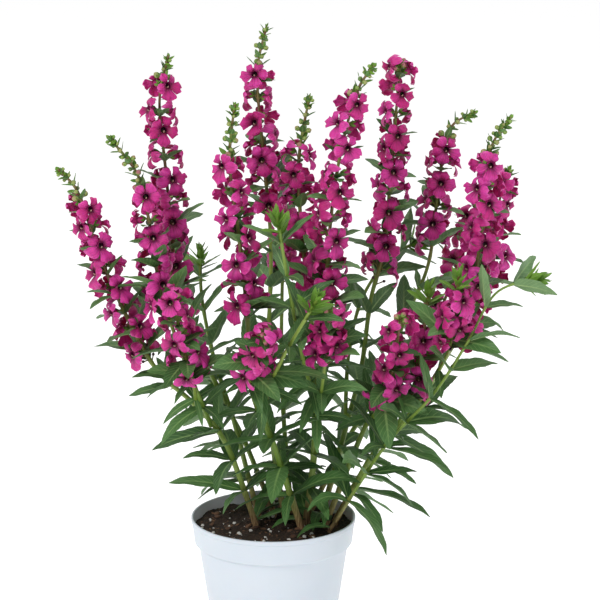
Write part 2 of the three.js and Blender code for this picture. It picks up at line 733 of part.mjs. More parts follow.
// Adds a joint to a surface: two loops with its pieces grown between them. It returns both loops.
function addJoint(skin, shoot, joint, half, thicker) {
  const low = skin.loop(corners(shoot, joint.s - half, joint.azimuth, thicker));
  const high = skin.loop(corners(shoot, joint.s + half, joint.azimuth, thicker));
  for (let i = 0; i < 4; i++) {
    const j = (i + 1) % 4;
    const [a, b, c, d] = [low[i].n, low[j].n, high[j].n, high[i].n];
    const item = joint.items[i];
    const root = [{ n: a, angle: 225 }, { n: b, angle: 315 }, { n: c, angle: 45 }, { n: d, angle: 135 }];
    if (item) grow[item.kind](skin, root, item, 0);
    else skin.quad(a, b, c, d);
  }
  return [low, high];
}

// A shoot's stem with all that is green on it. Its rings are kept for the sleeve of its flowers to follow.
function growShoot(shoot) {
  const joints = [...shoot.green].filter((joint) => joint.items.some(Boolean)).sort((a, b) => a.s - b.s);
  const stops = joints.map((joint) => ({ s: joint.s, joint }));
  const ends = shoot.whorls.length ? sleeveEnds(shoot) : [];
  const plain = ends.length ? [...ends, ...steps(ends[0], ends[1], SLEEVE_STEP)] : [];
  const spots = [0, ...joints.map((joint) => joint.s), ...ends];
  spots.sort((a, b) => a - b);
  spots.slice(1).forEach((s, i) => {
    if (!(ends.length && s > ends[0] + 1 && s <= ends[1] + 1)) plain.push(...steps(spots[i], s, STEM_STEP));
  });
  for (const s of plain) {
    if (joints.every((joint) => Math.abs(joint.s - s) > 2 * JOINT_HALF)) stops.push({ s, joint: null });
  }
  stops.sort((a, b) => a.s - b.s);
  const skin = surface();
  let azimuth = shoot.az;
  const start = corners(shoot, 0, azimuth, 0);
  let loop = skin.loop(start);
  if (shoot.from) skin.cap(loop);
  else {
    const foot = skin.loop(start.map(([angle, [x, y]]) => [angle, [x, y, STEM_FOOT]]));
    skin.cap(foot);
    skin.stitch(foot, loop);
  }
  shoot.rings = [];
  for (const { s, joint } of stops) {
    azimuth = joint ? joint.azimuth : azimuth;
    if (joint) {
      const [low, high] = addJoint(skin, shoot, joint, JOINT_HALF, 0);
      shoot.rings.push({ s: s - JOINT_HALF, azimuth }, { s: s + JOINT_HALF, azimuth });
      skin.stitch(loop, low);
      loop = high;
    } else {
      const ring = skin.loop(corners(shoot, s, azimuth, 0));
      shoot.rings.push({ s, azimuth });
      skin.stitch(loop, ring);
      loop = ring;
    }
  }
  const last = at(shoot, shoot.total);
  skin.point(loop, add(last.p, mul(last.t, STEM_TIP)));
  return solid(skin);
}

const steps = (from, to, most) => {
  const count = Math.ceil((to - from) / most);
  return Array.from({ length: Math.max(count - 1, 0) }, (_, i) => from + ((to - from) * (i + 1)) / count);
};

const sleeveEnds = (shoot) => [shoot.whorls[0].s - SLEEVE_END, shoot.whorls.at(-1).s + SLEEVE_END];

// The flowers of a spike, joined by a thin sleeve round its stem that they grow from
function growFlowers(shoot) {
  const [start, end] = sleeveEnds(shoot);
  const skin = surface();
  const first = skin.loop(corners(shoot, start, shoot.whorls[0].azimuth, SLEEVE));
  let loop = first;
  for (const joint of shoot.whorls) {
    const [low, high] = addJoint(skin, shoot, joint, WHORL_HALF, SLEEVE);
    skin.stitch(loop, low);
    loop = high;
  }
  const last = skin.loop(corners(shoot, end, shoot.whorls.at(-1).azimuth, SLEEVE));
  skin.stitch(loop, last);
  const inside = shoot.rings.filter((ring) => ring.s >= start - 0.01 && ring.s <= end + 0.01);
  const hollow = inside.map((ring) => skin.loop(corners(shoot, ring.s, ring.azimuth, HOLLOW)));
  hollow.slice(1).forEach((ring, i) => skin.stitch(hollow[i], ring, true));
  skin.stitch(last, hollow.at(-1));
  skin.stitch(hollow[0], first);
  return solid(skin);
}

// A joint's piece by itself, or a whole stem, made fatter, to cut back what comes too near
function fatPiece(shoot, joint, side, half, thicker) {
  const skin = surface();
  const low = corners(shoot, joint.s - half - GAP, joint.azimuth, thicker + HOLLOW);
  const high = corners(shoot, joint.s + half + GAP, joint.azimuth, thicker + HOLLOW);
  const [i, j] = [side, (side + 1) % 4];
  const root = skin.loop([[225, low[i][1]], [315, low[j][1]], [45, high[j][1]], [135, high[i][1]]]);
  skin.cap(root);
  const item = joint.items[side];
  grow[item.kind](skin, root, item, CUT);
  return solid(skin);
}

function fatStem(shoot) {
  const skin = surface();
  const places = [0, ...shoot.rings.map((ring) => ring.s), shoot.total];
  const rings = [{ azimuth: shoot.az }, ...shoot.rings, shoot.rings.at(-1)];
  const loops = places.map((s, i) => skin.loop(corners(shoot, s, rings[i].azimuth, HOLLOW)));
  skin.cap(loops[0]);
  loops.slice(1).forEach((loop, i) => skin.stitch(loops[i], loop));
  skin.point(loops.at(-1), add(at(shoot, shoot.total).p, mul(at(shoot, shoot.total).t, STEM_TIP + GAP)));
  return solid(skin);
}

const boxesMeet = (a, b) => {
  const [p, q] = [a.boundingBox(), b.boundingBox()];
  return [0, 1, 2].every((i) => p.min[i] < q.max[i] && q.min[i] < p.max[i]);
};

const meets = (a, b) => boxesMeet(a, b) && a.intersect(b).volume() > 0;
const unite = (list) => wasm.Manifold.union(list);
const largest = (made) => made.decompose().sort((a, b) => b.volume() - a.volume())[0];

// The plant's nodes in order, each cut back where it comes nearer than the gap to a piece of an earlier
// one
const nodes = new Map();
const done = [];

function addPlantNode(name, body) {
  const near = done.filter((other) => meets(body, other.fat));
  nodes.set(name, near.length ? largest(body.subtract(unite(near.map((other) => other.fat)))) : body);
}

function keepFat(shoot, joints, half, thicker) {
  for (const joint of joints) {
    joint.items.forEach((item, side) => {
      if (item) done.push({ fat: fatPiece(shoot, joint, side, half, thicker) });
    });
  }
}

for (const plant of new Set(SHOOTS.map((shoot) => shoot.plant))) {
  const shoots = SHOOTS.filter((shoot) => shoot.plant === plant);
  addPlantNode("leafy_stem_" + plant, unite(shoots.map(growShoot)));
  for (const shoot of shoots) {
    keepFat(shoot, shoot.green, JOINT_HALF, 0);
    done.push({ fat: fatStem(shoot), stem: shoot.name });
  }
}
for (const shoot of blooming) {
  const own = done.findIndex((other) => other.stem === shoot.name);
  const [kept] = done.splice(own, 1);
  addPlantNode(bloomNode(shoot), growFlowers(shoot));
  keepFat(shoot, shoot.whorls, WHORL_HALF, SLEEVE);
  done.push(kept);
}

// The pot
function latheOf(profile) {
  const points = profile.map(([x, y]) => new THREE.Vector2(x, y));
  return new THREE.LatheGeometry(points, POT_SIDES).rotateX(Math.PI / 2);
}

function fromGeometry(geometry) {
  geometry.deleteAttribute("normal");
  geometry.deleteAttribute("uv");
  const merged = mergeVertices(geometry, 1e-3);
  const vertProperties = merged.attributes.position.array;
  const triVerts = new Uint32Array(merged.index.array);
  return new wasm.Manifold(new wasm.Mesh({ numProp: 3, vertProperties, triVerts }));
}

const bandFoot = POT_HEIGHT - POT_BAND_HEIGHT;
const innerWall = POT_WALL_R - POT_WALL;
const innerBand = POT_BAND_R - POT_WALL;
const innerTop = POT_TOP_R - POT_WALL;
const innerBase = POT_BASE_R - POT_WALL;

function makePot() {
  let pot = fromGeometry(latheOf([
    [0, 0], [POT_BASE_R, 0], [POT_WALL_R, bandFoot - POT_LEDGE], [POT_BAND_R, bandFoot],
    [POT_TOP_R, POT_HEIGHT - RIM_ROUND], [POT_TOP_R - RIM_ROUND, POT_HEIGHT],
    [innerTop, POT_HEIGHT - RIM_ROUND / 2], [innerBand, bandFoot + INNER_LEDGE],
    [innerWall, bandFoot - 2 * INNER_LEDGE], [innerBase, POT_FLOOR], [0, POT_FLOOR],
  ]));
  for (let i = 0; i < DRAIN_HOLES; i++) {
    const angle = ((i + 0.5) * 2 * Math.PI) / DRAIN_HOLES;
    const drill = new THREE.CylinderGeometry(DRAIN_R, DRAIN_R, 4 * POT_FLOOR, 8).rotateX(Math.PI / 2);
    drill.translate(DRAIN_AT_R * Math.cos(angle), DRAIN_AT_R * Math.sin(angle), 0);
    pot = pot.subtract(fromGeometry(drill));
  }
  return pot;
}

// The soil fills the pot. Its top is uneven by a formula, and each stem stands in a hole of its own.
function makeSoil() {
  const edge = innerBand + ((innerTop - innerBand) * (SOIL_LEVEL - bandFoot)) / POT_BAND_HEIGHT - GAP;
  const geometry = latheOf([
    [0, POT_FLOOR + GAP], [innerBase - GAP, POT_FLOOR + GAP],
    [innerWall - GAP, bandFoot - 2 * INNER_LEDGE - GAP / 2], [innerBand - GAP, bandFoot + INNER_LEDGE],
    [edge, SOIL_LEVEL], [edge / 2, SOIL_LEVEL], [0, SOIL_LEVEL],
  ]);
  const position = geometry.attributes.position;
  for (let i = 0; i < position.count; i++) {
    const [x, y, z] = [position.getX(i), position.getY(i), position.getZ(i)];
    if (z > SOIL_LEVEL - GAP) position.setZ(i, z + SOIL_BUMP * Math.sin(x * 0.21 + 1) * Math.cos(y * 0.17));
  }
  const holes = SHOOTS.filter((shoot) => !shoot.from).map((shoot) => {
    const skin = surface();
    const round = corners(shoot, 0, shoot.az, HOLLOW);
    const ring = (z) => skin.loop(round.map(([angle, [x, y]]) => [angle, [x, y, z]]));
    const [low, high] = [ring(STEM_FOOT - GAP), ring(SOIL_LEVEL + 2 * SOIL_BUMP)];
    skin.cap(low);
    skin.stitch(low, high);
    skin.point(high, [shoot.points[0][0], shoot.points[0][1], SOIL_LEVEL + 3 * SOIL_BUMP]);
    return solid(skin);
  });
  return fromGeometry(geometry).subtract(unite(holes));
}

const MATERIALS = {
  pot: new THREE.MeshStandardMaterial({ color: 0xdfe7ee, roughness: 0.45, metalness: 0 }),
  soil: new THREE.MeshStandardMaterial({ color: 0x2b1a12, roughness: 0.95, metalness: 0 }),
  leafy: new THREE.MeshStandardMaterial({ color: 0x2f5d27, roughness: 0.6, metalness: 0 }),
  flowers: new THREE.MeshStandardMaterial({ color: 0xc2186f, roughness: 0.55, metalness: 0 }),
};

nodes.set("pot", makePot());
nodes.set("soil", makeSoil());

const plant = new THREE.Group();
for (const [name, body] of nodes) {
  const mesh = body.getMesh();
  const geometry = new THREE.BufferGeometry();
  geometry.setAttribute("position", new THREE.BufferAttribute(new Float32Array(mesh.vertProperties), 3));
  geometry.setIndex(new THREE.BufferAttribute(new Uint32Array(mesh.triVerts), 1));
  geometry.computeVertexNormals();
  const node = new THREE.Mesh(geometry, MATERIALS[name.split("_")[0]].clone());
  node.name = name;
  plant.add(node);
}

export default plant;
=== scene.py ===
import json
import math

import bpy
import numpy as np
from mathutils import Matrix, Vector, noise

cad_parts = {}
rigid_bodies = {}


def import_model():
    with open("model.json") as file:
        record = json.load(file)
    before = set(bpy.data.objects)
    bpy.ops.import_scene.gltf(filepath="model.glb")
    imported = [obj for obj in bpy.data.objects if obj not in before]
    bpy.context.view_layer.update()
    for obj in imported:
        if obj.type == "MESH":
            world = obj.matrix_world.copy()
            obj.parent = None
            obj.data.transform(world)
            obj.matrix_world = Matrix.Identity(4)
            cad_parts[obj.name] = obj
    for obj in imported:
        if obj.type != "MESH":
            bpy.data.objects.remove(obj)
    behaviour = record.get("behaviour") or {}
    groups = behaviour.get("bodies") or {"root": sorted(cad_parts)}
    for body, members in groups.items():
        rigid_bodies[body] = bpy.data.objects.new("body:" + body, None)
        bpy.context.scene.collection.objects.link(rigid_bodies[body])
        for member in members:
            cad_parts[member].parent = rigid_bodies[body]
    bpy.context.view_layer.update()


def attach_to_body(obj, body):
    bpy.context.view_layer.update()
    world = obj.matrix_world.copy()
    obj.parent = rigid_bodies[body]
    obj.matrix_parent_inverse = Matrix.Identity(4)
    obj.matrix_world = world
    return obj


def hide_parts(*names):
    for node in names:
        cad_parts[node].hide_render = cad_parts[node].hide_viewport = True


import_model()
MM = 0.001
TURN = 2 * math.pi

# Camera: the photograph's viewing angle
CAMERA_AT = (21.07, -1706.54, 690.48)
CAMERA_DOWN = 13.119
CAMERA_LENS = 135.83
SENSOR = 36
FARTHEST = 60


def show(name, data):
    made = bpy.data.objects.new(name, data)
    bpy.context.scene.collection.objects.link(made)
    return made


lens = bpy.data.cameras.new("camera")
lens.lens = CAMERA_LENS
lens.sensor_width = SENSOR
lens.clip_end = FARTHEST
camera = show("camera", lens)
camera.location = [MM * x for x in CAMERA_AT]
camera.rotation_euler = (math.radians(90 - CAMERA_DOWN), 0, 0)
bpy.context.scene.camera = camera

# Driving dimensions, as in the solids
POT_HEIGHT = 118
POT_TOP_R = 65
POT_BAND_HEIGHT = 20
POT_BAND_R = 62.4
POT_WALL_R = 59.2
POT_BASE_R = 44.8
POT_WALL = 1.6
POT_FLOOR = 2.4
POT_LEDGE = 1.5
DRAIN_HOLES = 4
DRAIN_R = 4
DRAIN_AT_R = 28
SOIL_LEVEL = 110
SOIL_BUMP = 1.4
CURVE_STEPS = 12
RIB_STEPS = 12
LEAF_SPACING = 28
LEAF_ASPECT = 0.22
LEAF_BROADER = 0.12
SECOND_PAIR = 0.78
SECOND_BELOW = 240
SMALLER = 0.65
SHORT_LEAF = 52
OUTLINE_SCALE = 2.557  # brings the widest place of a leaf's outline to the leaf's width
BUD_SPACING = 10
BUD_LENGTH = 8.5
BUD_WIDTH = 4.6
BRACT_LENGTH = 12.5
BRACT_WIDTH = 5.4
CROWN_PAIRS = 3
CROWN_LENGTH = 20
CROWN_ASPECT = 0.4
SMALL_DROOP = 0.1
FLOWER_R = 11.8
FLOWER_REACH = 10.5
FLOWER_RISE = 3
SOLID_PETALS = [(0, 0.92, -1.0), (98, 1.0, 0.4), (180, 1.12, 1.6), (262, 1.0, 0.4)]
PETALS = [(-34, 0.88, -1.0), (34, 0.88, -1.0), (104, 1.0, 0.6), (180, 1.12, 1.6), (256, 1.0, 0.6)]
CLEAR = 0.6

# What is tried for a piece: turns and lifts in degrees, and the least room that it is kept with
LEAF_TRIES = ([0, 12, -12, 24, -24], [0], CLEAR)
FLOWER_TRIES = ([0, 8, -8, 16, -16, 24, -24], [0, 12, -12], -0.6)
BUD_TRIES = ([0, 20, -20], [0, 20], 0)
CROWN_TRIES = ([0, 25, -25], [0, -15, 15], 0)

KIN_SLACK = 0.6
NEAR = 4
FAR = 99
BLADE_CAPSULE_R = 0.28
TIP_CAPSULE_R = 0.16
PETAL_CAPSULE_R = 2.4
PETAL_CAPSULE_REACH = 0.8
FUNNEL_START = 3.5
FUNNEL_CAPSULE_R = 1
RIM_INSIDE = 56
RIM_OUTSIDE = 68
OVER_RIM = POT_HEIGHT + 1.5
OVER_SOIL = SOIL_LEVEL + 2

# Each shoot: its name, its plant, the shoot that it branches off, its radius at either end, the height of its
# lowest leaves and the length of those and of its highest, the heights between which it flowers, the step
# from one pair of flowers to the next, the way that its first pair faces, what its tip carries, and its
# points.
SHOOTS = [
    ("a", 1, None, (2.4, 0.9), (115, 68, 39), (262, 370), 17.5, 40, "buds",
     [(-14, -4, 112), (-36, -12, 179), (-59, -20, 213), (-89, -26, 244), (-111, -30, 287), (-132, -32, 339),
      (-145, -32, 382), (-159, -34, 400)]),
    ("b", 1, "a", (1.8, 0.9), (215, 47, 36), (300, 378), 16.5, 10, "buds",
     [(-48, -16, 196), (-60, -38, 236), (-75, -46, 281), (-86, -44, 322), (-93, -38, 367), (-101, -34, 398),
      (-121, -36, 425)]),
    ("a_low", 1, "a", (1.6, 1.0), (222, 41, 34), (250, 308), 15, 70, "none",
     [(-59, -20, 213), (-60, -50, 242), (-66, -66, 272), (-73, -75, 312)]),
    ("p", 2, None, (2.3, 1.2), (115, 64, 39), None, 0, 0, "leafy",
     [(-12, 14, 112), (-32, 30, 188), (-47, 42, 233), (-57, 50, 282), (-58, 50, 322)]),
    ("c", 2, "p", (2.0, 0.9), (216, 53, 39), (300, 455), 16.5, 25, "buds",
     [(-37, 34, 200), (-58, 27, 242), (-77, 16, 284), (-78, 10, 338), (-82, 8, 393), (-86, 8, 446),
      (-79, 6, 480)]),
    ("d", 3, None, (2.7, 0.9), (115, 68, 39), (300, 404), 16.5, 55, "buds",
     [(22, -12, 112), (0, -24, 185), (-16, -36, 232), (-19, -46, 296), (-25, -52, 358), (-31, -54, 410),
      (-27, -56, 452)]),
    ("o", 3, "d", (1.7, 1.2), (236, 45, 34), None, 0, 20, "leafy",
     [(-14, -34, 226), (-1, -62, 245), (12, -82, 275), (34, -104, 318)]),
    ("d_low", 3, "d", (1.5, 1.0), (240, 34, 32), (254, 284), 12, 60, "none",
     [(-16, -36, 232), (-16, -62, 252), (-4, -94, 288)]),
    ("e", 4, None, (2.4, 0.9), (130, 64, 39), (362, 460), 16, 80, "buds",
     [(9, 7, 112), (-1, 18, 174), (-7, 26, 230), (-3, 32, 277), (-2, 36, 333), (-7, 38, 396),
      (-12, 38, 462), (-5, 38, 499)]),
    ("f", 5, None, (3.0, 0.9), (115, 68, 39), (318, 404), 16, 70, "buds",
     [(26, 1, 112), (32, -4, 170), (32, -8, 231), (29, -10, 287), (23, -8, 342), (20, -3, 400),
      (28, 0, 450)]),
    ("g", 5, "f", (2.0, 0.9), (222, 49, 39), (300, 448), 16, 30, "buds",
     [(32, -6, 202), (39, -24, 259), (41, -38, 313), (44, -44, 364), (51, -44, 414), (63, -42, 460),
      (75, -42, 479)]),
    ("n", 5, "f", (1.7, 1.2), (232, 45, 34), None, 0, 60, "leafy",
     [(32, -7, 214), (21, -44, 268), (13, -68, 318), (4, -80, 375)]),
    ("f_low", 5, "f", (1.6, 1.0), (206, 41, 32), (268, 300), 12.5, 40, "none",
     [(32, -5, 189), (38, -48, 238), (44, -80, 300)]),
    ("m", 6, "h", (1.8, 1.1), (216, 49, 39), None, 0, 0, "leafy",
     [(57, 26, 184), (60, 46, 238), (72, 66, 281), (97, 80, 312), (123, 86, 322)]),
    ("h", 6, None, (2.5, 0.9), (115, 66, 39), (310, 464), 15, 15, "none",
     [(38, 12, 112), (57, 26, 180), (70, 34, 231), (77, 38, 284), (87, 38, 324), (91, 36, 373),
      (98, 30, 471)]),
    ("i", 7, None, (2.4, 0.8), (115, 66, 44), (326, 402), 16.5, 5, "buds",
     [(41, -7, 112), (66, 8, 173), (84, 24, 210), (103, 42, 263), (123, 56, 308), (130, 60, 362),
      (138, 60, 415), (158, 58, 430)]),
    ("i_low", 7, "i", (1.6, 1.0), (198, 38, 34), (222, 284), 16, 35, "none",
     [(75, 14, 189), (86, -26, 222), (92, -48, 254), (96, -62, 292)]),
    ("j", 8, None, (2.5, 0.8), (115, 68, 44), (262, 400), 16, 20, "buds",
     [(49, 3, 112), (80, 4, 169), (109, 0, 204), (137, -8, 255), (153, -16, 304), (160, -18, 362),
      (165, -16, 413), (179, -18, 437)]),
    ("k", 8, "j", (1.6, 0.8), (262, 38, 34), (304, 374), 16.5, 60, "buds",
     [(135, -7, 250), (158, 22, 280), (174, 37, 318), (177, 40, 360), (184, 40, 388)]),
    ("j_low", 8, "j", (1.7, 1.0), (212, 43, 34), (226, 282), 14, 5, "leafy",
     [(98, 2, 192), (109, -12, 226), (115, -22, 262), (119, -30, 310)]),
    ("q", 8, "j", (1.4, 1.0), (242, 34, 32), (276, 306), 12, 30, "leafy",
     [(123, -4, 228), (134, -40, 262), (137, -60, 296), (139, -66, 328)]),
    ("l", 9, None, (1.9, 1.0), (115, 66, 39), None, 0, 0, "leafy",
     [(44, -21, 112), (86, -38, 186), (121, -52, 230), (146, -58, 272), (168, -58, 312), (202, -54, 322)]),
    ("x1", 10, None, (2.3, 0.9), (115, 64, 39), (300, 376), 20, 0, "buds",
     [(14, 27, 112), (8, 62, 177), (6, 82, 240), (7, 94, 304), (8, 98, 392)]),
    ("x2", 11, None, (2.3, 0.9), (115, 64, 39), (258, 336), 20, 45, "buds",
     [(29, 25, 112), (64, 70, 167), (102, 98, 211), (137, 110, 259), (166, 112, 352)]),
    ("x3", 12, None, (2.3, 0.9), (115, 64, 39), (266, 342), 20, 20, "buds",
     [(0, 23, 112), (-28, 60, 170), (-57, 88, 213), (-77, 98, 270), (-88, 98, 356)]),
]


def unit(a):
    return a / math.sqrt(a @ a)


def units(a):
    return a / np.linalg.norm(a, axis=-1, keepdims=True)


def mix(a, b, k):
    return a * (1 - k) + b * k


def cross(a, b):
    return np.array([a[1] * b[2] - a[2] * b[1], a[2] * b[0] - a[0] * b[2], a[0] * b[1] - a[1] * b[0]])


# A seeded draw from 0 to 1 for draw i of shoot k, the same in every run.
def draw(k, i):
    s = ((k + 11) * 374761393 + (i + 7) * 668265263) & 0xFFFFFFFF
    s = ((s ^ (s >> 13)) * 1274126177) & 0xFFFFFFFF
    return (s ^ (s >> 16)) / 4294967296


# A curve through its points, with what grows on it
class Shoot:
    def __init__(self, index, row):
        self.name, self.plant, self.parent, self.r, self.leaves, self.bloom, *rest = row
        self.step, self.az, self.tip, points = rest
        p = [np.array(point, float) for point in points]
        line = [p[0]]
        for i in range(len(p) - 1):
            p0 = p[max(i - 1, 0)]
            p3 = p[min(i + 2, len(p) - 1)]
            c1 = (p[i + 1] - p0) * 0.5
            c2 = p0 - p[i] * 2.5 + (p[i + 1] * 2 - p3 * 0.5)
            c3 = (p3 - p0) * 0.5 + (p[i] - p[i + 1]) * 1.5
            for n in range(1, CURVE_STEPS + 1):
                k = n / CURVE_STEPS
                line.append(p[i] + (c1 * k + (c2 * (k * k) + c3 * (k * k * k))))
        self.index = index
        self.line = np.array(line)
        self.run = np.concatenate([[0], np.cumsum(np.linalg.norm(np.diff(self.line, axis=0), axis=1))])
        last = len(line) - 1
        slopes = [unit(self.line[min(i + 1, last)] - self.line[max(i - 1, 0)]) for i in range(last + 1)]
        self.slope = np.array(slopes)
        if self.parent is None:
            self.slope[0] = (0, 0, 1)
        self.total = self.run[-1]
        self.green = []
        self.whorls = []

    # The point, direction and radius at a distance s along the shoot.
    def at(self, s):
        i = min(max(int(np.searchsorted(self.run, s)), 1), len(self.run) - 1)
        k = (s - self.run[i - 1]) / (self.run[i] - self.run[i - 1])
        radius = self.r[0] + (self.r[1] - self.r[0]) * s / self.total
        slope = unit(mix(self.slope[i - 1], self.slope[i], k))
        return mix(self.line[i - 1], self.line[i], k), slope, radius

    # The number that the draws of one of its dressed pieces go by.
    def seed(self, n):
        return self.index * 1000 + n

    # How far along the shoot a height is first reached.
    def reach(self, z):
        i = max(int(np.argmax(self.line[:, 2] >= z)), 1)
        rise = self.line[i][2] - self.line[i - 1][2]
        return self.run[i - 1] + (self.run[i] - self.run[i - 1]) * (z - self.line[i - 1][2]) / rise


def outward(t, azimuth):
    u = unit(np.array([1.0, 0, 0]) - t * t[0])
    v = cross(t, u)
    return u * math.cos(math.radians(azimuth)) + v * math.sin(math.radians(azimuth))


def leaving(t, azimuth, pitch):
    return unit(outward(t, azimuth) * math.cos(math.radians(pitch)) + t * math.sin(math.radians(pitch)))


# The middle line of a blade, which droops more and more towards its tip.
def midrib(item):
    p, t, _ = item["shoot"].at(item["s"])
    start = leaving(t, item["azimuth"], item["pitch"])
    droop = item["droop"] * math.hypot(start[0], start[1])
    share = (np.arange(RIB_STEPS + 1) / RIB_STEPS) ** 2
    directions = units(start + np.outer(share, (0, 0, -droop)))
    steps = directions * (item["length"] / RIB_STEPS)
    steps[0] = 0
    return p + np.cumsum(steps, axis=0), directions, unit(cross(t, start))


def along_rib(points, directions, u):
    i = min(int(u * RIB_STEPS), RIB_STEPS - 1)
    k = u * RIB_STEPS - i
    return mix(points[i], points[i + 1], k), unit(mix(directions[i], directions[i + 1], k))


# A point of the straight stretches between a solid blade's bends
def along_bends(item, points, directions, u):
    stops = [0, 0.32, 0.7, 1] if item["length"] > SHORT_LEAF else [0, 0.45, 1]
    i = max(next(n for n, stop in enumerate(stops) if stop >= u), 1)
    k = (u - stops[i - 1]) / (stops[i] - stops[i - 1])
    ends = [along_rib(points, directions, stops[n])[0] for n in (i - 1, i)]
    return mix(ends[0], ends[1], k)


def half_width(width, u):
    return (width / 2) * OUTLINE_SCALE * np.power(u, 0.55) * np.power(1 - u, 0.85)


def flower_frame(item):
    p, t, _ = item["shoot"].at(item["s"])
    out = outward(t, item["azimuth"])
    face = leaving(t, item["azimuth"], item["pitch"])
    up = unit(t - face * (t @ face))
    throat = p + out * item["reach"] + t * item["rise"]
    return {"p": p, "out": out, "face": face, "up": up, "right": cross(up, face), "throat": throat}


def petal_point(f, angle, radius, forward):
    across = f["right"] * math.sin(math.radians(angle)) * radius
    return f["throat"] + across + f["up"] * math.cos(math.radians(angle)) * radius + f["face"] * forward


# What a piece takes up, as capsules: two ends and a radius each.
def capsules(item):
    if item["kind"] == "flower":
        f = flower_frame(item)
        root = f["p"] + f["out"] * FUNNEL_START
        made = []
        for angle, size, forward in SOLID_PETALS:
            tip = petal_point(f, angle, size * item["size"] * PETAL_CAPSULE_REACH, forward)
            made += [(f["throat"], tip, PETAL_CAPSULE_R), (root, tip, FUNNEL_CAPSULE_R)]
        return made
    if item["kind"] == "bud":
        p, t, _ = item["shoot"].at(item["s"])
        d = leaving(t, item["azimuth"], item["pitch"])
        return [(p + d * 2, p + d * item["length"], item["width"] / 2)]
    points, directions, _ = midrib(item)
    cuts = [0.06, 0.3, 0.55, 0.8, 1] if item["kind"] == "leaf" else [0.15, 0.55, 1]
    ends = [along_bends(item, points, directions, u) for u in cuts]
    radii = [BLADE_CAPSULE_R] * (len(cuts) - 2) + [TIP_CAPSULE_R]
    return [(a, b, item["width"] * radius) for a, b, radius in zip(ends, ends[1:], radii)]


# The least distances between straight stretches, each of the first set against each of the second
def stretch_distances(p1, q1, p2, q2):
    d1 = (q1 - p1)[:, None]
    d2 = (q2 - p2)[None]
    r = p1[:, None] - p2[None]
    a = (d1 * d1).sum(-1)
    b = (d1 * d2).sum(-1)
    c = (d1 * r).sum(-1)
    e = (d2 * d2).sum(-1)
    f = (d2 * r).sum(-1)
    spread = a * e - b * b
    crossing = spread > 1e-9
    s = np.where(crossing, np.clip((b * f - c * e) / np.where(crossing, spread, 1), 0, 1), 0)
    free = (b * s + f) / e
    t = np.clip(free, 0, 1)
    s = np.where(t != free, np.clip((b * t - c) / a, 0, 1), s)
    return np.linalg.norm(p1[:, None] + d1 * s[..., None] - p2[None] - d2 * t[..., None], axis=-1)


# Everything placed so far, for what comes later to keep clear of. Each capsule is kept with its node, its
# shoot, its joint (0 for a stretch of stem) and its place in its piece.
class Room:
    def __init__(self, most):
        self.a = np.zeros((most, 3))
        self.b = np.zeros((most, 3))
        self.r = np.zeros(most)
        self.tags = np.zeros((most, 4), int)
        self.count = 0
        self.names = {}

    def number(self, name):
        return self.names.setdefault(name, len(self.names) + 1)

    def take_up(self, node, shoot, made, joint):
        for order, (a, b, r) in enumerate(made):
            i = self.count
            self.a[i], self.b[i], self.r[i] = a, b, r
            self.tags[i] = (self.number(node), shoot.index, joint, order)
            self.count += 1

    def left(self, item):
        a, b, r = [np.array(part) for part in zip(*capsules(item))]
        least = FAR
        for k in (0, 0.25, 0.5, 0.75, 1):
            spots = mix(a, b, k)
            out = np.hypot(spots[:, 0], spots[:, 1])
            floor = np.where(out > RIM_OUTSIDE, 0, np.where(out > RIM_INSIDE, OVER_RIM, OVER_SOIL))
            least = min(least, (spots[:, 2] - r / 2 - floor).min())
        n = self.count
        both = np.concatenate([a, b])
        middle = (both.min(0) + both.max(0)) / 2
        size = np.linalg.norm(both.max(0) - both.min(0)) / 2 + r.max() + NEAR
        others = (self.a[:n] + self.b[:n]) / 2
        reach = np.linalg.norm(self.b[:n] - self.a[:n], axis=1) / 2 + self.r[:n]
        near = np.linalg.norm(others - middle, axis=1) < size + reach
        if near.any():
            gaps = stretch_distances(a, b, self.a[:n][near], self.b[:n][near])
            gaps = gaps - r[:, None] - self.r[:n][near][None]
            node, shoot, joint, order = self.tags[:n][near].T
            own = shoot == item["shoot"].index
            gaps = gaps + np.where((node == self.number(item["node"])) & ~own, KIN_SLACK, 0)[None]
            first = (np.arange(len(r)) == 0)[:, None]
            skipped = (own & (joint == 0))[None] & (first | (item["kind"] == "flower"))
            skipped = skipped | (joint == item["joint"])[None] & (first | (order == 0)[None])
            least = min(least, np.where(skipped, FAR, gaps).min())
        return least


# Tries a piece at each lift and turn in order. It keeps the first that is clear, or else the best above the
# limit, if there is one.
def settle(item, turns, lifts, limit):
    best, kept = limit, None
    for lift, turned in [(lift, turned) for lift in lifts for turned in turns]:
        tried = dict(item, azimuth=item["azimuth"] + turned, pitch=item["pitch"] + lift)
        space = space_left.left(tried)
        if space >= CLEAR or space > best:
            best, kept = space, tried
        if space >= CLEAR:
            break
    if kept:
        space_left.take_up(item["node"], item["shoot"], capsules(kept), item["joint"])
    return kept


def green_node(shoot):
    return "leafy_stem_" + str(shoot.plant)


def bloom_node(shoot):
    return "flowers_" + shoot.name


def nearest(x):
    return math.floor(x + 0.5)


# A joint is a place along a shoot, the way that its first side faces, and a piece or None on each side.
class Joint:
    made = 0

    def __init__(self, s, azimuth, up=0.0):
        Joint.made += 1
        self.number = Joint.made
        self.s = s
        self.azimuth = azimuth
        self.up = up
        self.items = [None, None, None, None]

    def fill(self, sides, grow):
        for side in sides:
            self.items[side] = grow(side, self.azimuth + 90 * side)


# A piece to be tried at a joint
def piece_at(shoot, joint, kind, node, **rest):
    return dict(rest, kind=kind, node=node, shoot=shoot, s=joint.s, joint=joint.number)


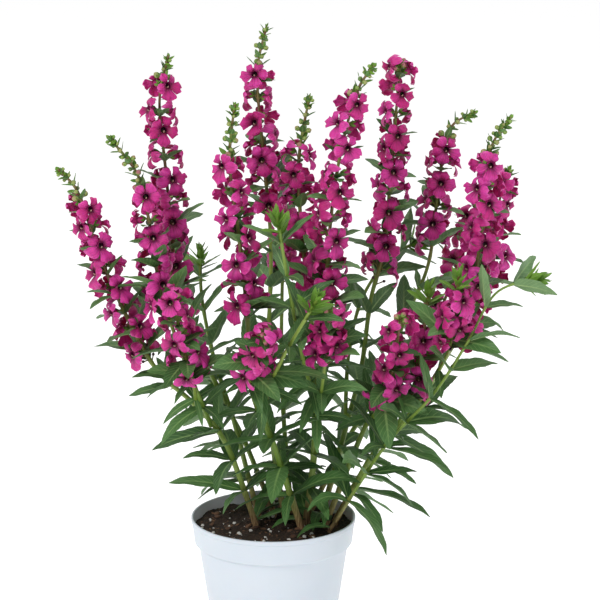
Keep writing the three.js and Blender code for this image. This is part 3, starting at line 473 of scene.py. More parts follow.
def place_flowers(shoot):
    start, end = [shoot.reach(z) for z in shoot.bloom]
    count = nearest((end - start) / shoot.step)
    for w in range(count + 1):
        young = w / count

        def jitter(k):
            return draw(shoot.index, 100 + w * 4 + k) - 0.5

        joint = Joint(start + (end - start) * young, shoot.az + 90 * w + jitter(0) * 24, young)

        def grow(side, azimuth):
            item = piece_at(
                shoot, joint, "flower", bloom_node(shoot),
                azimuth=azimuth + jitter(600 + side) * 20, pitch=3 + jitter(200 + side) * 22,
                size=FLOWER_R * (1.05 - 0.14 * young + jitter(400 + side) * 0.14),
                reach=FLOWER_REACH * (1.05 - 0.2 * young + jitter(800 + side) * 0.16),
                rise=FLOWER_RISE + jitter(1000 + side) * 6)
            return settle(item, *FLOWER_TRIES)

        joint.fill([0, 2], grow)
        shoot.whorls.append(joint)


# The joints of a shoot's leaves, which carry no leaf yet
def place_leaf_joints(shoot):
    start = shoot.reach(shoot.leaves[0])
    end = shoot.reach(shoot.bloom[0]) - 11 if shoot.bloom else shoot.total - 22
    count = max(nearest((end - start) / LEAF_SPACING), 1)
    for w in range(count + 1):
        azimuth = shoot.az + 45 + 90 * w + (draw(shoot.index, 1000 + w) - 0.5) * 30
        up = w / count
        shoot.green.append(Joint(start + (end - start) * up, azimuth, up))


def place_leaves(shoot, sides, share):
    _, longest, shortest = shoot.leaves
    for w, joint in enumerate(shoot.green):
        if share < 1 and shoot.at(joint.s)[0][2] > SECOND_BELOW:
            continue
        up = joint.up

        def grow(side, azimuth):
            def jitter(k):
                return draw(shoot.index, 2000 + w * 4 + side + k) - 0.5

            size = share * (longest + (shortest - longest) * up) * (1 + 0.28 * jitter(200))
            item = piece_at(
                shoot, joint, "leaf", green_node(shoot),
                azimuth=azimuth, pitch=12 + 30 * up + jitter(400) * 26, length=size,
                width=size * (LEAF_ASPECT + LEAF_BROADER * up) * (1 + 0.4 * jitter(600)),
                droop=(0.8 + jitter(800)) * (1.2 - 0.8 * up))
            smaller = dict(item, length=size * SMALLER, width=item["width"] * SMALLER)
            return settle(item, *LEAF_TRIES) or settle(smaller, *LEAF_TRIES)

        joint.fill(sides, grow)


# Buds with the smallest leaves across them, from the last flowers up to the tip
def place_buds(shoot):
    start = shoot.reach(shoot.bloom[1]) + 8
    end = shoot.total - 3
    count = max(int((end - start) // BUD_SPACING), 1)
    for w in range(count + 1):
        up = w / count
        young = 1 - 0.4 * up
        azimuth = shoot.az + 90 * w + (draw(shoot.index, 4000 + w) - 0.5) * 30
        joint = Joint(start + (end - start) * up, azimuth, up)
        bud = piece_at(shoot, joint, "bud", green_node(shoot), droop=SMALL_DROOP, pitch=30,
                       length=BUD_LENGTH * young, width=BUD_WIDTH * young)
        leaf = dict(bud, kind="bract", pitch=42, length=BRACT_LENGTH * young, width=BRACT_WIDTH * young)
        joint.fill([0, 2], lambda _, azimuth: settle(dict(bud, azimuth=azimuth), *BUD_TRIES))
        joint.fill([1, 3], lambda _, azimuth: settle(dict(leaf, azimuth=azimuth), *BUD_TRIES))
        shoot.green.append(joint)


# The close pairs of young leaves at the tip of a shoot without buds
def place_crown(shoot):
    for w in range(CROWN_PAIRS):
        up = w / (CROWN_PAIRS - 1)
        size = CROWN_LENGTH * (1 - 0.55 * up)
        joint = Joint(shoot.total - 14 + 12 * up, shoot.az + 90 * w, up)
        leaf = piece_at(shoot, joint, "bract", green_node(shoot), pitch=34 + 30 * up, length=size,
                        width=size * CROWN_ASPECT, droop=SMALL_DROOP)
        joint.fill([0, 2], lambda _, azimuth: settle(dict(leaf, azimuth=azimuth), *CROWN_TRIES))
        shoot.green.append(joint)


MOST_CAPSULES = 12000
space_left = Room(MOST_CAPSULES)
shoots = [Shoot(index, row) for index, row in enumerate(SHOOTS)]
for shoot in shoots:
    for i in range(len(shoot.line) - 1):
        stretch = (shoot.line[i], shoot.line[i + 1], shoot.at(shoot.run[i])[2])
        space_left.take_up(green_node(shoot), shoot, [stretch], 0)
blooming = [shoot for shoot in shoots if shoot.bloom]
for shoot in blooming:
    place_flowers(shoot)
for shoot in shoots:
    place_leaf_joints(shoot)
for sides, share in (([0, 2], 1), ([1, 3], SECOND_PAIR)):
    for shoot in shoots:
        place_leaves(shoot, sides, share)
for tip, place_tip in (("buds", place_buds), ("leafy", place_crown)):
    for shoot in shoots:
        if shoot.tip == tip:
            place_tip(shoot)


# A mesh in the making. Each corner carries four shares, which the materials read as a colour. On a blade or a
# petal they are along, across, a tone and one more, and each material names what it takes them for.
class Skin:
    def __init__(self, *materials):
        self.materials = materials
        self.points = []
        self.values = []
        self.faces = []
        self.kinds = []
        self.count = 0

    # Where there are more kinds of material than one, each has as many of the faces, in order.
    def add(self, points, faces, values, *kinds):
        values = np.asarray(values, float)
        self.points.append(points)
        self.values.append(np.tile(values, (len(points), 1)) if values.ndim == 1 else values)
        self.faces += [tuple(self.count + i for i in face) for face in faces]
        for material in kinds:
            self.kinds += [self.materials.index(material)] * (len(faces) // len(kinds))
        self.count += len(points)

    def build(self, name, sharp=70):
        mesh = bpy.data.meshes.new(name)
        mesh.from_pydata((np.concatenate(self.points) * MM).tolist(), [], self.faces)
        layer = mesh.attributes.new("growth", "FLOAT_COLOR", "POINT")
        layer.data.foreach_set("color", np.concatenate(self.values).astype(np.float32).ravel())
        mesh.polygons.foreach_set("material_index", np.array(self.kinds, np.int32))
        for material in self.materials:
            mesh.materials.append(bpy.data.materials[material])
        mesh.shade_smooth()
        mesh.set_sharp_from_angle(angle=math.radians(sharp))
        mesh.update()
        return show(name, mesh)


# The corner shares of a sheet of rows and columns
def sheet_values(u, v, tone, extra):
    values = np.empty((len(u), len(v), 4))
    values[..., 0] = u[:, None]
    values[..., 1] = (v[None] + 1) / 2
    values[..., 2] = tone
    values[..., 3] = extra
    return values


# The faces of a closed thin shell, from a grid of corners in front and one behind that share their edge
def shell_faces(rows, columns):
    def front(i, j):
        return i * (columns + 1) + j

    def behind(i, j):
        if i in (0, rows) or j in (0, columns):
            return front(i, j)
        return (rows + 1) * (columns + 1) + (i - 1) * (columns - 1) + j - 1

    cells = [(i, j) for i in range(rows) for j in range(columns)]
    top = [(front(i, j), front(i + 1, j), front(i + 1, j + 1), front(i, j + 1)) for i, j in cells]
    bottom = [(behind(i, j), behind(i, j + 1), behind(i + 1, j + 1), behind(i + 1, j)) for i, j in cells]
    return top + bottom


def add_shell(skin, front, back, values, top_material, under_material):
    points = np.concatenate([front.reshape(-1, 3), back[1:-1, 1:-1].reshape(-1, 3)])
    every = np.concatenate([values.reshape(-1, 4), values[1:-1, 1:-1].reshape(-1, 4)])
    faces = shell_faces(len(front) - 1, len(front[0]) - 1)
    skin.add(points, faces, every, top_material, under_material)


# A closed skin over rings of corners, with one more corner at each end. The rings of a mirrored one run the
# other way round.
def add_rings(skin, rings, ends, values, material, mirrored=False):
    rows, sides = len(rings), len(rings[0])
    after = [(j + 1) % sides for j in range(sides)]
    faces = [(a + j, a + k, a + sides + k, a + sides + j)
             for a in range(0, (rows - 1) * sides, sides) for j, k in enumerate(after)]
    last = (rows - 1) * sides
    for j, k in enumerate(after):
        faces += [(k, j, rows * sides), (last + j, last + k, rows * sides + 1)]
    if mirrored:
        faces = [face[:1] + face[:0:-1] for face in faces]
    skin.add(np.concatenate([np.reshape(rings, (-1, 3)), ends]), faces, values, material)


# The shares of every ring's corners, from one row of shares for each ring
def ring_values(rows, sides):
    every = np.repeat(np.asarray(rows, float), sides, axis=0)
    return np.concatenate([every, every[:1], every[-1:]])


# A tube along its middle line
def add_tube(skin, middles, radii, sides, values, material):
    middles = np.asarray(middles, float)
    along = units(np.gradient(middles, axis=0))
    seed = np.array([0.0, 1, 0]) if abs(along[0][1]) < 0.8 else np.array([1.0, 0, 0])
    first = unit(seed - along[0] * (seed @ along[0]))
    angles = np.arange(sides) * TURN / sides
    rings = []
    for middle, t, radius in zip(middles, along, radii):
        first = unit(first - t * (first @ t))
        ring = np.outer(np.cos(angles), first) + np.outer(np.sin(angles), cross(t, first))
        rings.append(middle + ring * radius)
    ends = [middles[0], middles[-1] + along[-1] * radii[-1]]
    add_rings(skin, rings, ends, ring_values(values, sides), material)


# A turned shape about an axis, from its profile of distances out and along. It may have five lobes, and each
# ring may be moved up.
def add_turned(skin, origin, right, up, axis, profile, sides, values, material, lobes=0, shifts=None):
    angles = np.arange(sides) * TURN / sides
    wide = 1 + lobes * np.cos(5 * angles)
    ring = np.outer(np.sin(angles) * wide, right) + np.outer(np.cos(angles) * wide, up)
    shifts = shifts or [0] * len(profile)
    rings = [origin + axis * along + up * shift + ring * out for (out, along), shift in zip(profile, shifts)]
    ends = [rings[0].mean(0), rings[-1].mean(0)]
    every = ring_values(values, sides)
    every[:, 1] = [*np.tile(angles / TURN, len(profile)), 0, 0]
    add_rings(skin, rings, ends, every, material, mirrored=True)


# The first number, for each kind of piece, of those that its draws go by
FLOWER_DRAWS = 0
GREEN_DRAWS = 500
ROSETTE_DRAWS = 900
BETWEEN_DRAWS = 940
TIP_BUD_DRAWS = 960
CAPSULE_DRAWS = 980
PHASES = 6.28  # about one turn, over which the waves' phases are drawn
THIN_SIDES = 6

# Leaves. A grid is the rows, columns and teeth of a blade.
LEAF_GRID = (26, 8, 8)
BRACT_GRID = (14, 6, 5)
TIP_GRID = (10, 6, 4)
SMALL_GRID = (10, 6, 3)
LEAF_ROLL = 60  # how far apart the turns of blade tips about their midribs may be, in degrees
LEAF_FOLD = 0.13
LEAF_WAVE = 0.55
TOOTH_HEIGHT = 0.085
TEETH_FROM = 0.25
TEETH_TO = 0.97
GROOVE = 0.22
LEAF_THICK = 0.35
KEEL = 0.75
LEAST_BLADE = 0.12


def add_blade(skin, item, seed, tone, extra, grid, materials):
    rows, columns, teeth = grid
    points, directions, side = midrib(item)
    u = np.linspace(0, 1, rows + 1)
    v = np.linspace(-1, 1, columns + 1)
    i = np.minimum((u * RIB_STEPS).astype(int), RIB_STEPS - 1)
    k = (u * RIB_STEPS - i)[:, None]
    middle = mix(points[i], points[i + 1], k)
    direction = units(mix(directions[i], directions[i + 1], k))
    roll = np.radians((draw(seed, 1) - 0.5) * LEAF_ROLL) * u[:, None]
    across = side * np.cos(roll) + units(np.cross(direction, side)) * np.sin(roll)
    above = units(np.cross(direction, across))
    wide = half_width(item["width"], np.clip(u, 0.004, 0.994))
    wide = np.maximum(wide, 0.42 * (1 - u) + LEAST_BLADE)
    toothed = np.clip((u - TEETH_FROM) * 6, 0, 1) * (u < TEETH_TO)
    offset = np.outer(wide * (1 + TOOTH_HEIGHT * ((u * teeth) % 1.0 - 0.5) * toothed), v)
    phase = draw(seed, 2) * PHASES
    ripple = np.sin(TURN * (2.6 * u[:, None] + 0.15 * v[None]) + phase)
    wave = LEAF_WAVE * (item["length"] / 55) * ripple * v[None] ** 2
    groove = GROOVE * np.exp(-((v / 0.13) ** 2))[None]
    height = LEAF_FOLD * np.abs(offset) ** 1.15 + (wave - groove) * np.clip(wide[:, None] / 3, 0, 1)
    front = middle[:, None] + across[:, None] * offset[..., None] + above[:, None] * height[..., None]
    keel = LEAF_THICK + KEEL * np.exp(-((v / 0.14) ** 2))[None] * (1 - 0.75 * u[:, None])
    keel = keel * min(item["length"] / 40, 1)
    back = front - above[:, None] * keel[..., None]
    add_shell(skin, front, back, sheet_values(u, v, tone, extra), *materials)


# A narrow pointed sepal that hugs what it holds
def add_sepal(skin, foot, axis, out, width, height, tone):
    u = np.linspace(0, 1, 4)
    v = np.linspace(-1, 1, 3)
    side = unit(cross(axis, out))
    bulge = np.sin(u * math.pi * 0.62) * width + 0.15
    half = width * 0.42 * np.array([0.8, 1.0, 0.7, 0.08])
    middle = foot + np.outer(u * height, axis) + np.outer(bulge, out)
    front = middle[:, None] + side * np.outer(half, v)[..., None] - out * (0.12 * v[None] ** 2)[..., None]
    add_shell(skin, front, front - out * 0.18, sheet_values(u, v, tone, 0.2), "young_leaf", "young_leaf")


def add_sepals(skin, foot, axis, right, up, turned, width, height, tone):
    for n in range(5):
        angle = math.radians(72 * n + turned)
        add_sepal(skin, foot, axis, right * math.sin(angle) + up * math.cos(angle), width, height, tone)


# A round bud in its green cup, on a short stalk
BUD_SIDES = 10
BUD_LOBES = 0.07
BUD_PROFILE = [(0.10, 0.0), (0.55, 0.08), (0.86, 0.22), (1.0, 0.42), (0.94, 0.62), (0.70, 0.82), (0.34, 0.95),
               (0.08, 1.0)]


def add_bud(skin, item, seed, ripe):
    p, t, r = item["shoot"].at(item["s"])
    d = leaving(t, item["azimuth"], item["pitch"])
    right = unit(cross(t, d))
    up = cross(d, right)
    body = item["width"] * 1.12
    foot = item["length"] - body
    stalk = [p + d * (r * 0.4), p + d * (foot * 0.5) - t * 0.15, p + d * (foot + 0.3)]
    tone = draw(seed, 3)
    add_tube(skin, stalk, [0.55, 0.42, 0.6], THIN_SIDES, [(0.5, 0.4, tone, 0)] * 3, "stem")
    profile = [(out * item["width"] / 2, foot + along * body) for out, along in BUD_PROFILE]
    values = [(along, 0, tone, ripe) for _, along in BUD_PROFILE]
    add_turned(skin, p, right, up, d, profile, BUD_SIDES, values, "bud", lobes=BUD_LOBES)
    add_sepals(skin, p + d * foot, d, right, up, 20, item["width"] * 0.52, body * 0.72, tone)


# Stems, a little thicker at each joint, woody low down and purple near the flowers
STEM_SIDES = 10
STEM_RING = 3.4
NODE_SWELL = 0.336
NODE_SPREAD = 3.2
STEM_FOOT = 94
SLIMMER = {"l": 0.78}
TIP_SHARE = {"buds": 1.0, "leafy": 0.9, "none": 1.0}
WOODY_TO = 150


def add_stem(skin, shoot):
    tone = draw(shoot.index, 51)
    slim = SLIMMER.get(shoot.name, 1)
    joints = np.array([joint.s for joint in shoot.green + shoot.whorls])
    bloom = shoot.reach(shoot.bloom[0]) if shoot.bloom else shoot.total + 40
    middles, radii, values = [], [], []
    if shoot.parent is None:
        for drop in (112 - STEM_FOOT, 10, 4):
            middles.append(shoot.line[0] - (0, 0, drop))
            radii.append(shoot.r[0] * slim * 1.04)
            values.append((1, 0, tone, 0))
    for s in np.linspace(0, shoot.total, max(int(shoot.total / STEM_RING), 12) + 1):
        p, _, r = shoot.at(s)
        swell = NODE_SWELL * np.exp(-(((joints - s) / NODE_SPREAD) ** 2)).max() * min(r / 1.6, 1)
        middles.append(p)
        radii.append((r * slim + swell) * (1 if s < shoot.total - 6 else TIP_SHARE[shoot.tip]))
        wood = np.clip((WOODY_TO - p[2]) / 34, 0, 1) if shoot.parent is None else 0
        purple = np.clip((s - bloom + 40) / 70, 0, 1)
        values.append((wood, purple, tone, 0))
    last, t, r = shoot.at(shoot.total)
    middles.append(last + t * 1.8)
    radii.append(r * 0.7)
    values.append(values[-1])
    add_tube(skin, middles, radii, STEM_SIDES, values, "stem")


# Flowers. A petal is a ruffled thin shell, and a flower's cup is a turned double wall behind five petals.
PETAL_ROWS = 7
PETAL_COLUMNS = 6
THROAT_R = 0.22
PETAL_WIDE = [0.37, 0.37, 0.43, 0.50, 0.43]
PETAL_STATIONS = [0, 0.25, 0.5, 0.75, 0.9, 1]
PETAL_PROFILE = [0.42, 0.60, 0.90, 1.0, 0.86, 0.55]
PETAL_THICK = 0.28
PETAL_SWING = 26
RECURVE = [-2.4, -2.4, -0.9, -1.4, -0.9]
LEAN = 3.8
ARCH = 1.7
TWIST = 2.7
RUFFLE = 1.15
CUP_PROFILE = [
    (0.02, -5.3), (0.10, -5.1), (0.17, -4.2), (0.21, -3.0), (0.225, -1.6), (0.215, -0.6), (0.235, 0.2),
    (0.26, -0.4), (0.262, -1.8), (0.245, -3.2), (0.195, -4.7), (0.12, -5.8), (0.03, -6.2),
]
CUP_DROP = [0, 0, -0.3, -0.6, -0.6, -0.2, 0, -0.2, -0.6, -0.7, -0.5, -0.2, 0]
CUP_SIDES = 14
CUP_RIM = 6
TOOTH = [(-0.17, -1.8), (-0.14, -0.5), (-0.09, 0.3), (-0.04, 0.6)]  # up over the size, and forward
TOOTH_R = [0.7, 0.6, 0.4, 0.12]


def add_petal(skin, f, size, order, seed, tone, young):
    angle, long, forward = PETALS[order]
    angle = math.radians(angle + (draw(seed, 70 + order) - 0.5) * PETAL_SWING)
    u = np.sin(np.linspace(0, 1, PETAL_ROWS + 1) * math.pi / 2) ** 1.12
    v = np.linspace(-1, 1, PETAL_COLUMNS + 1)
    row, column = u[:, None], v[None]
    reach = long * size * (0.96 + 0.16 * draw(seed, 80 + order))
    inner = THROAT_R * size
    half = PETAL_WIDE[order] * size * np.interp(u, PETAL_STATIONS, PETAL_PROFILE)
    half = half * (0.92 + 0.2 * draw(seed, 90 + order))
    phase = draw(seed, 20 + order) * PHASES
    ruffles = 2.2 + draw(seed, 30 + order) * 1.6
    lean = (draw(seed, 40 + order) - 0.5) * 2
    twist = (draw(seed, 100 + order) - 0.5) * 2
    out = inner + (reach - inner) * row - 0.15 * size * column ** 2 * row ** 2
    out = out - 0.05 * size * np.exp(-((column / 0.25) ** 2)) * row ** 6
    out = out + 0.03 * size * np.sin(column * 5.5 + phase) * row ** 4
    rise = -0.8 * (1 - row) ** 2 + forward * row + 0.12 * order + RECURVE[order] * row ** 3
    rise = rise + LEAN * lean * row ** 1.6 - 1.6 * np.abs(lean) * row ** 3
    rise = rise + ARCH * np.sin(row * math.pi) * (0.6 + 0.8 * draw(seed, 50 + order))
    rise = rise + TWIST * twist * column * row ** 1.2 - 1.2 * column ** 2 * (0.25 + row)
    rise = rise + RUFFLE * np.sin(column * ruffles * math.pi / 2 + phase) * row ** 1.4
    rise = rise + 0.32 * np.sin(column * 7 + phase * 2) * row ** 3 + young * 5.0 * row ** 1.3
    out = out * (1 - 0.22 * young * row)
    away = f["right"] * math.sin(angle) + f["up"] * math.cos(angle)
    turned = f["right"] * math.cos(angle) - f["up"] * math.sin(angle)
    sideways = half[:, None] * column
    front = f["throat"] + away * out[..., None] + turned * sideways[..., None] + f["face"] * rise[..., None]
    tone = np.clip(tone + (draw(seed, 110 + order) - 0.5) * 0.7, 0, 1)
    values = sheet_values(u, v, tone, draw(seed, 60 + order))
    add_shell(skin, front, front - f["face"] * PETAL_THICK, values, "petal", "petal")


def add_flower(skin, item, seed):
    f = flower_frame(item)
    size = item["size"]
    tone = draw(seed, 4)
    young = max(draw(seed, 5) - 0.86, 0) * 5
    for order in range(len(PETALS)):
        add_petal(skin, f, size, order, seed, tone, young)
    profile = [(out * size, along) for out, along in CUP_PROFILE]
    values = [(min(i / CUP_RIM, 1), 0, tone, 0 if i <= CUP_RIM else 1) for i in range(len(profile))]
    add_turned(skin, f["throat"], f["right"], f["up"], f["face"], profile, CUP_SIDES, values, "throat",
               shifts=CUP_DROP)
    tooth = [f["throat"] + f["up"] * (up * size) + f["face"] * forward for up, forward in TOOTH]
    add_tube(skin, tooth, TOOTH_R, THIN_SIDES, [(0.2 * i, 0, tone, 0) for i in range(4)], "tooth")


# The stalk and sepals that a flower sits on
def add_flower_green(skin, item, seed):
    f = flower_frame(item)
    _, t, r = item["shoot"].at(item["s"])
    tone = draw(seed, 3)
    heel = f["throat"] - f["face"] * 6.7
    root = f["p"] + f["out"] * (r * 0.4)
    stalk = [root, (root + heel) / 2 - t * 0.5, heel, heel + f["face"] * 0.4]
    add_tube(skin, stalk, [0.62, 0.5, 0.6, 0.8], THIN_SIDES, [(0, 0.75, tone, 0.5)] * 4, "stem")
    add_sepals(skin, heel, f["face"], f["right"], f["up"], 36, 3.0, 4.2, tone)


# The leafy bract under a flower, which shrinks towards the tip of the spike
BRACT_LONGEST = 40
BRACT_SHORTEST = 13


def add_bract(skin, item, young, seed):
    length = BRACT_SHORTEST + (BRACT_LONGEST - BRACT_SHORTEST) * (1 - young) ** 1.3
    length = length * (0.85 + 0.35 * draw(seed, 6))
    aside = (46 + 34 * draw(seed, 7)) * (1 if draw(seed, 17) > 0.5 else -1)
    bract = dict(item, kind="bract", s=item["s"] - 3.0, azimuth=item["azimuth"] + aside,
                 pitch=6 + 40 * draw(seed, 8), length=length, width=length * (0.40 + 0.16 * young), droop=0.4)
    add_blade(skin, bract, seed, draw(seed, 9), 0.15, BRACT_GRID, ("leaf", "leaf"))


# The close small leaves at each kind of tip: their length, their width over it, their count, and the stretch
# of stem that carries them
ROSETTES = {"buds": (7.5, 0.72, 8, 9), "leafy": (17, 0.40, 10, 16), "none": (6.5, 0.6, 5, 3)}


def add_rosette(skin, shoot, length, aspect, count, spread):
    for n in range(count):
        up = n / (count - 1)
        seed = shoot.seed(ROSETTE_DRAWS + n)
        item = {
            "kind": "bract", "shoot": shoot, "s": shoot.total - spread * (1 - up),
            "azimuth": shoot.az + 137.5 * n, "pitch": 22 + 46 * up + 14 * draw(seed, 1),
            "length": length * (1 - 0.45 * up) * (0.85 + 0.3 * draw(seed, 2)), "droop": 0.15,
        }
        item["width"] = item["length"] * aspect
        add_blade(skin, item, seed, draw(seed, 3), 0.6, SMALL_GRID, ("young_leaf", "young_leaf"))


# The last buds of a spike that flowers right up to its tip
def add_tip_buds(skin, shoot):
    for n in range(5):
        item = {"shoot": shoot, "s": shoot.total - 1 - 0.6 * n, "azimuth": shoot.az + 144 * n, "kind": "bud",
                "pitch": 62 - 12 * n, "length": 7.6, "width": 4.2}
        add_bud(skin, item, shoot.seed(TIP_BUD_DRAWS + n), 1.0)


# Smaller buds and leaves between two joints of the tip
def add_between(skin, shoot, low, high, w):
    young = 1 - 0.4 * (low.up + high.up) / 2
    for n in range(4):
        seed = shoot.seed(BETWEEN_DRAWS + w * 4 + n)
        item = {"shoot": shoot, "s": (low.s + high.s) / 2, "droop": SMALL_DROOP,
                "azimuth": (low.azimuth + high.azimuth) / 2 + 90 * n}
        if n % 2:
            item.update(kind="bract", pitch=30 + 30 * draw(seed, 1), length=9.5 * young, width=6.2 * young)
            add_blade(skin, item, seed, draw(seed, 2), 0.1, SMALL_GRID, ("young_leaf", "leaf"))
        else:
            item.update(kind="bud", pitch=20 + 20 * draw(seed, 1), length=6.8 * young, width=3.7 * young)
            add_bud(skin, item, seed, 0.4 * draw(seed, 2))


# The small dark seed capsules that are left under a spike's lowest flowers
SEED_PROFILE = [(0.15, 0), (0.8, 0.35), (1.25, 1.1), (1.1, 1.9), (0.5, 2.5), (0.1, 2.7)]
SEED_SIDES = 9


def add_capsules(skin, shoot):
    for n in range(4):
        seed = shoot.seed(CAPSULE_DRAWS + n)
        p, t, r = shoot.at(shoot.whorls[0].s - 5 - 3.2 * n)
        d = leaving(t, shoot.az + 100 * n + 60 * draw(seed, 1), 20 + 30 * draw(seed, 2))
        long = 5 + 3 * draw(seed, 3)
        end = p + d * long
        add_tube(skin, [p + d * r * 0.5, p + d * long * 0.6, end], [0.6, 0.5, 0.6], THIN_SIDES,
                 [(0, 1, draw(seed, 4), 0.5)] * 3, "stem")
        right = unit(cross(t, d))
        add_turned(skin, end, right, cross(d, right), d, SEED_PROFILE, SEED_SIDES,
                   [(0, 0, draw(seed, 5), 0)] * len(SEED_PROFILE), "capsule")


# Materials. A share is a number that varies over a surface, which a node gives out. Sums with it make more
# nodes.
class Share:
    def __init__(self, tree, socket):
        self.tree = tree
        self.socket = socket

    def math(self, operation, *values):
        return node(self.tree, "Math", 0, dict(enumerate(values)), operation=operation)

    def __add__(self, other):
        return self.math("ADD", self, other)

    def __sub__(self, other):
        return self.math("SUBTRACT", self, other)

    def __rsub__(self, other):
        return self.math("SUBTRACT", other, self)

    def __mul__(self, other):
        return self.math("MULTIPLY", self, other)

    def __abs__(self):
        return self.math("ABSOLUTE", self)

    def fraction(self):
        return self.math("FRACT", self)

    def clamped(self):
        self.socket.node.use_clamp = True
        return self

    # From 0 at one value to 1 at the other, eased at both ends
    def step(self, zero, one):
        inputs = {"Value": self, "From Min": zero, "From Max": one}
        return node(self.tree, "MapRange", "Result", inputs, interpolation_type="SMOOTHSTEP")


def put(socket, value):
    if isinstance(value, Share):
        value.tree.links.new(value.socket, socket)
    else:
        socket.default_value = (*value, 1) if socket.type == "RGBA" else value


# One output of a new node
def node(tree, kind, output, inputs, **settings):
    made = tree.nodes.new("ShaderNode" + kind)
    for key, value in settings.items():
        setattr(made, key, value)
    for key, value in inputs.items():
        put(made.inputs[key], value)
    return Share(tree, made.outputs[output])


# The four shares that a corner carries
def shares(tree):
    growth = node(tree, "Attribute", "Color", {}, attribute_name="growth")
    red = node(tree, "SeparateColor", "Red", {"Color": growth})
    sockets = [*red.socket.node.outputs, growth.socket.node.outputs["Alpha"]]
    return [Share(tree, socket) for socket in sockets]


def blend(share, a, b):
    return node(share.tree, "Mix", 2, {0: share, 6: a, 7: b}, data_type="RGBA")


def ramp(share, stops):
    made = node(share.tree, "ValToRGB", "Color", {0: share})
    elements = made.socket.node.color_ramp.elements
    while len(elements) < len(stops):
        elements.new(0.5)
    for element, (position, colour) in zip(elements, stops):
        element.position = position
        element.color = (*colour, 1)
    return made


def place(tree, stretch=(1, 1, 1)):
    return node(tree, "Mapping", "Vector", {"Vector": node(tree, "TexCoord", "Object", {}), "Scale": stretch})


def clouds(where, scale, detail, roughness=0.55):
    inputs = {"Vector": where, "Scale": scale, "Detail": detail, "Roughness": roughness}
    return node(where.tree, "TexNoise", "Fac", inputs)


def material(name):
    made = bpy.data.materials.new(name)
    made.use_nodes = True
    return made.node_tree


# Sets a material's shader. The bumps are a height, their strength and their depth in metres.
def finish_shader(tree, colour, roughness, bumps=None, **plain):
    inputs = tree.nodes["Principled BSDF"].inputs
    put(inputs["Base Color"], colour)
    put(inputs["Roughness"], roughness)
    if bumps:
        height, strength, depth = bumps
        values = {"Height": height, "Strength": strength, "Distance": depth}
        put(inputs["Normal"], node(tree, "Bump", "Normal", values))
    for key, value in plain.items():
        put(inputs[key.replace("_", " ")], value)


VEINS = 9.0
VEIN_SLANT = 4.2


# A leaf, with paired side veins that leave the midrib at a slant
def make_leaf(name, deep, light, vein, vein_share, roughness, coat):
    tree = material(name)
    u, v, tone, extra = shares(tree)
    where = place(tree)
    mottle = clouds(where, 170, 4)
    broad = clouds(where, 34, 2)
    off = abs(v - 0.5)
    side_veins = abs((u * VEINS - off * VEIN_SLANT).fraction() - 0.5).step(0.10, 0.0)
    share = ((tone * 0.55 + broad * 0.45).clamped() + extra * 0.55).clamped()
    colour = blend(share, deep, light)
    colour = blend(mottle * 0.5, colour, tuple(0.45 * c for c in deep))
    colour = blend(side_veins * vein_share, colour, vein)
    colour = blend(off.step(0.075, 0.018) * (1.05 - u).clamped() * 0.85, colour, vein)
    relief = side_veins * -0.6 + mottle * 0.5
    finish_shader(tree, colour, mottle * 0.18 + roughness, (relief, 0.35, 0.0006), Coat_Weight=coat,
                  Coat_Roughness=0.35, Specular_IOR_Level=0.3)


def make_stem():
    tree = material("stem")
    wood, purple, tone, _ = shares(tree)
    streaks = clouds(place(tree, (1, 1, 0.06)), 900, 3)
    patches = clouds(place(tree), 60, 3)
    green = blend(tone, (0.190, 0.30, 0.038), (0.265, 0.36, 0.058))
    green = blend(streaks * 0.55, green, (0.075, 0.17, 0.03))
    colour = blend(purple * patches.step(0.28, 0.62) * 0.85, green, (0.16, 0.055, 0.035))
    bark = blend(streaks.step(0.35, 0.65), (0.36, 0.235, 0.115), (0.16, 0.085, 0.035))
    colour = blend(wood, colour, bark)
    finish_shader(tree, colour, wood * 0.4 + 0.42, (streaks + wood * patches, 0.45, 0.0005))


def make_bud():
    tree = material("bud")
    along, _, tone, ripe = shares(tree)
    fleck = clouds(place(tree), 900, 2)
    green = blend(tone, (0.20, 0.36, 0.06), (0.34, 0.42, 0.12))
    pink = blend(tone, (0.42, 0.03, 0.16), (0.52, 0.16, 0.20))
    colour = blend(along.step(0.35, 0.95) * ripe, green, pink)
    colour = blend(fleck * 0.4, colour, (0.12, 0.20, 0.04))
    finish_shader(tree, colour, fleck * 0.15 + 0.45, (fleck, 0.25, 0.0003))


def make_petal():
    tree = material("petal")
    u, v, tone, extra = shares(tree)
    where = place(tree)
    rays = clouds(node(tree, "CombineXYZ", 0, {0: u * 1.6, 1: v * 15.0, 2: extra * 40.0}), 1.0, 3)
    broad = clouds(where, 160, 3)
    cells = clouds(where, 1500, 2)
    stripe = rays.step(0.46, 0.66)
    near = u.step(0.55, 0.05) * (stripe + 0.25).clamped()
    deep = blend(tone, (0.25, 0.003, 0.085), (0.37, 0.006, 0.155))
    bright = blend(tone, (0.60, 0.012, 0.215), (0.74, 0.050, 0.38))
    # The deep magenta, favoured towards the throat and in broad random patches, is partly the petal's own
    # colour and partly painted shade.
    colour = blend((broad * 0.75 + u * 0.42).clamped(), deep, bright)
    # Towards its edge the petal turns a paler pink: partly its own paler edge, partly a painted highlight.
    colour = blend(u.step(0.80, 1.02) * 0.5, colour, (0.90, 0.16, 0.52))
    colour = blend(stripe * 0.45, colour, (0.20, 0.002, 0.065))
    colour = blend(near * 0.85, colour, (0.10, 0.002, 0.035))
    colour = blend(u.step(0.26, 0.0) * 0.8, colour, (0.07, 0.002, 0.025))
    finish_shader(tree, colour, cells * 0.2 + 0.42, (rays * 0.8 + cells * 0.4, 0.4, 0.0004),
                  Sheen_Weight=0.10, Sheen_Roughness=0.4, Subsurface_Weight=0.12, Subsurface_Scale=0.002,
                  Specular_IOR_Level=0.35)


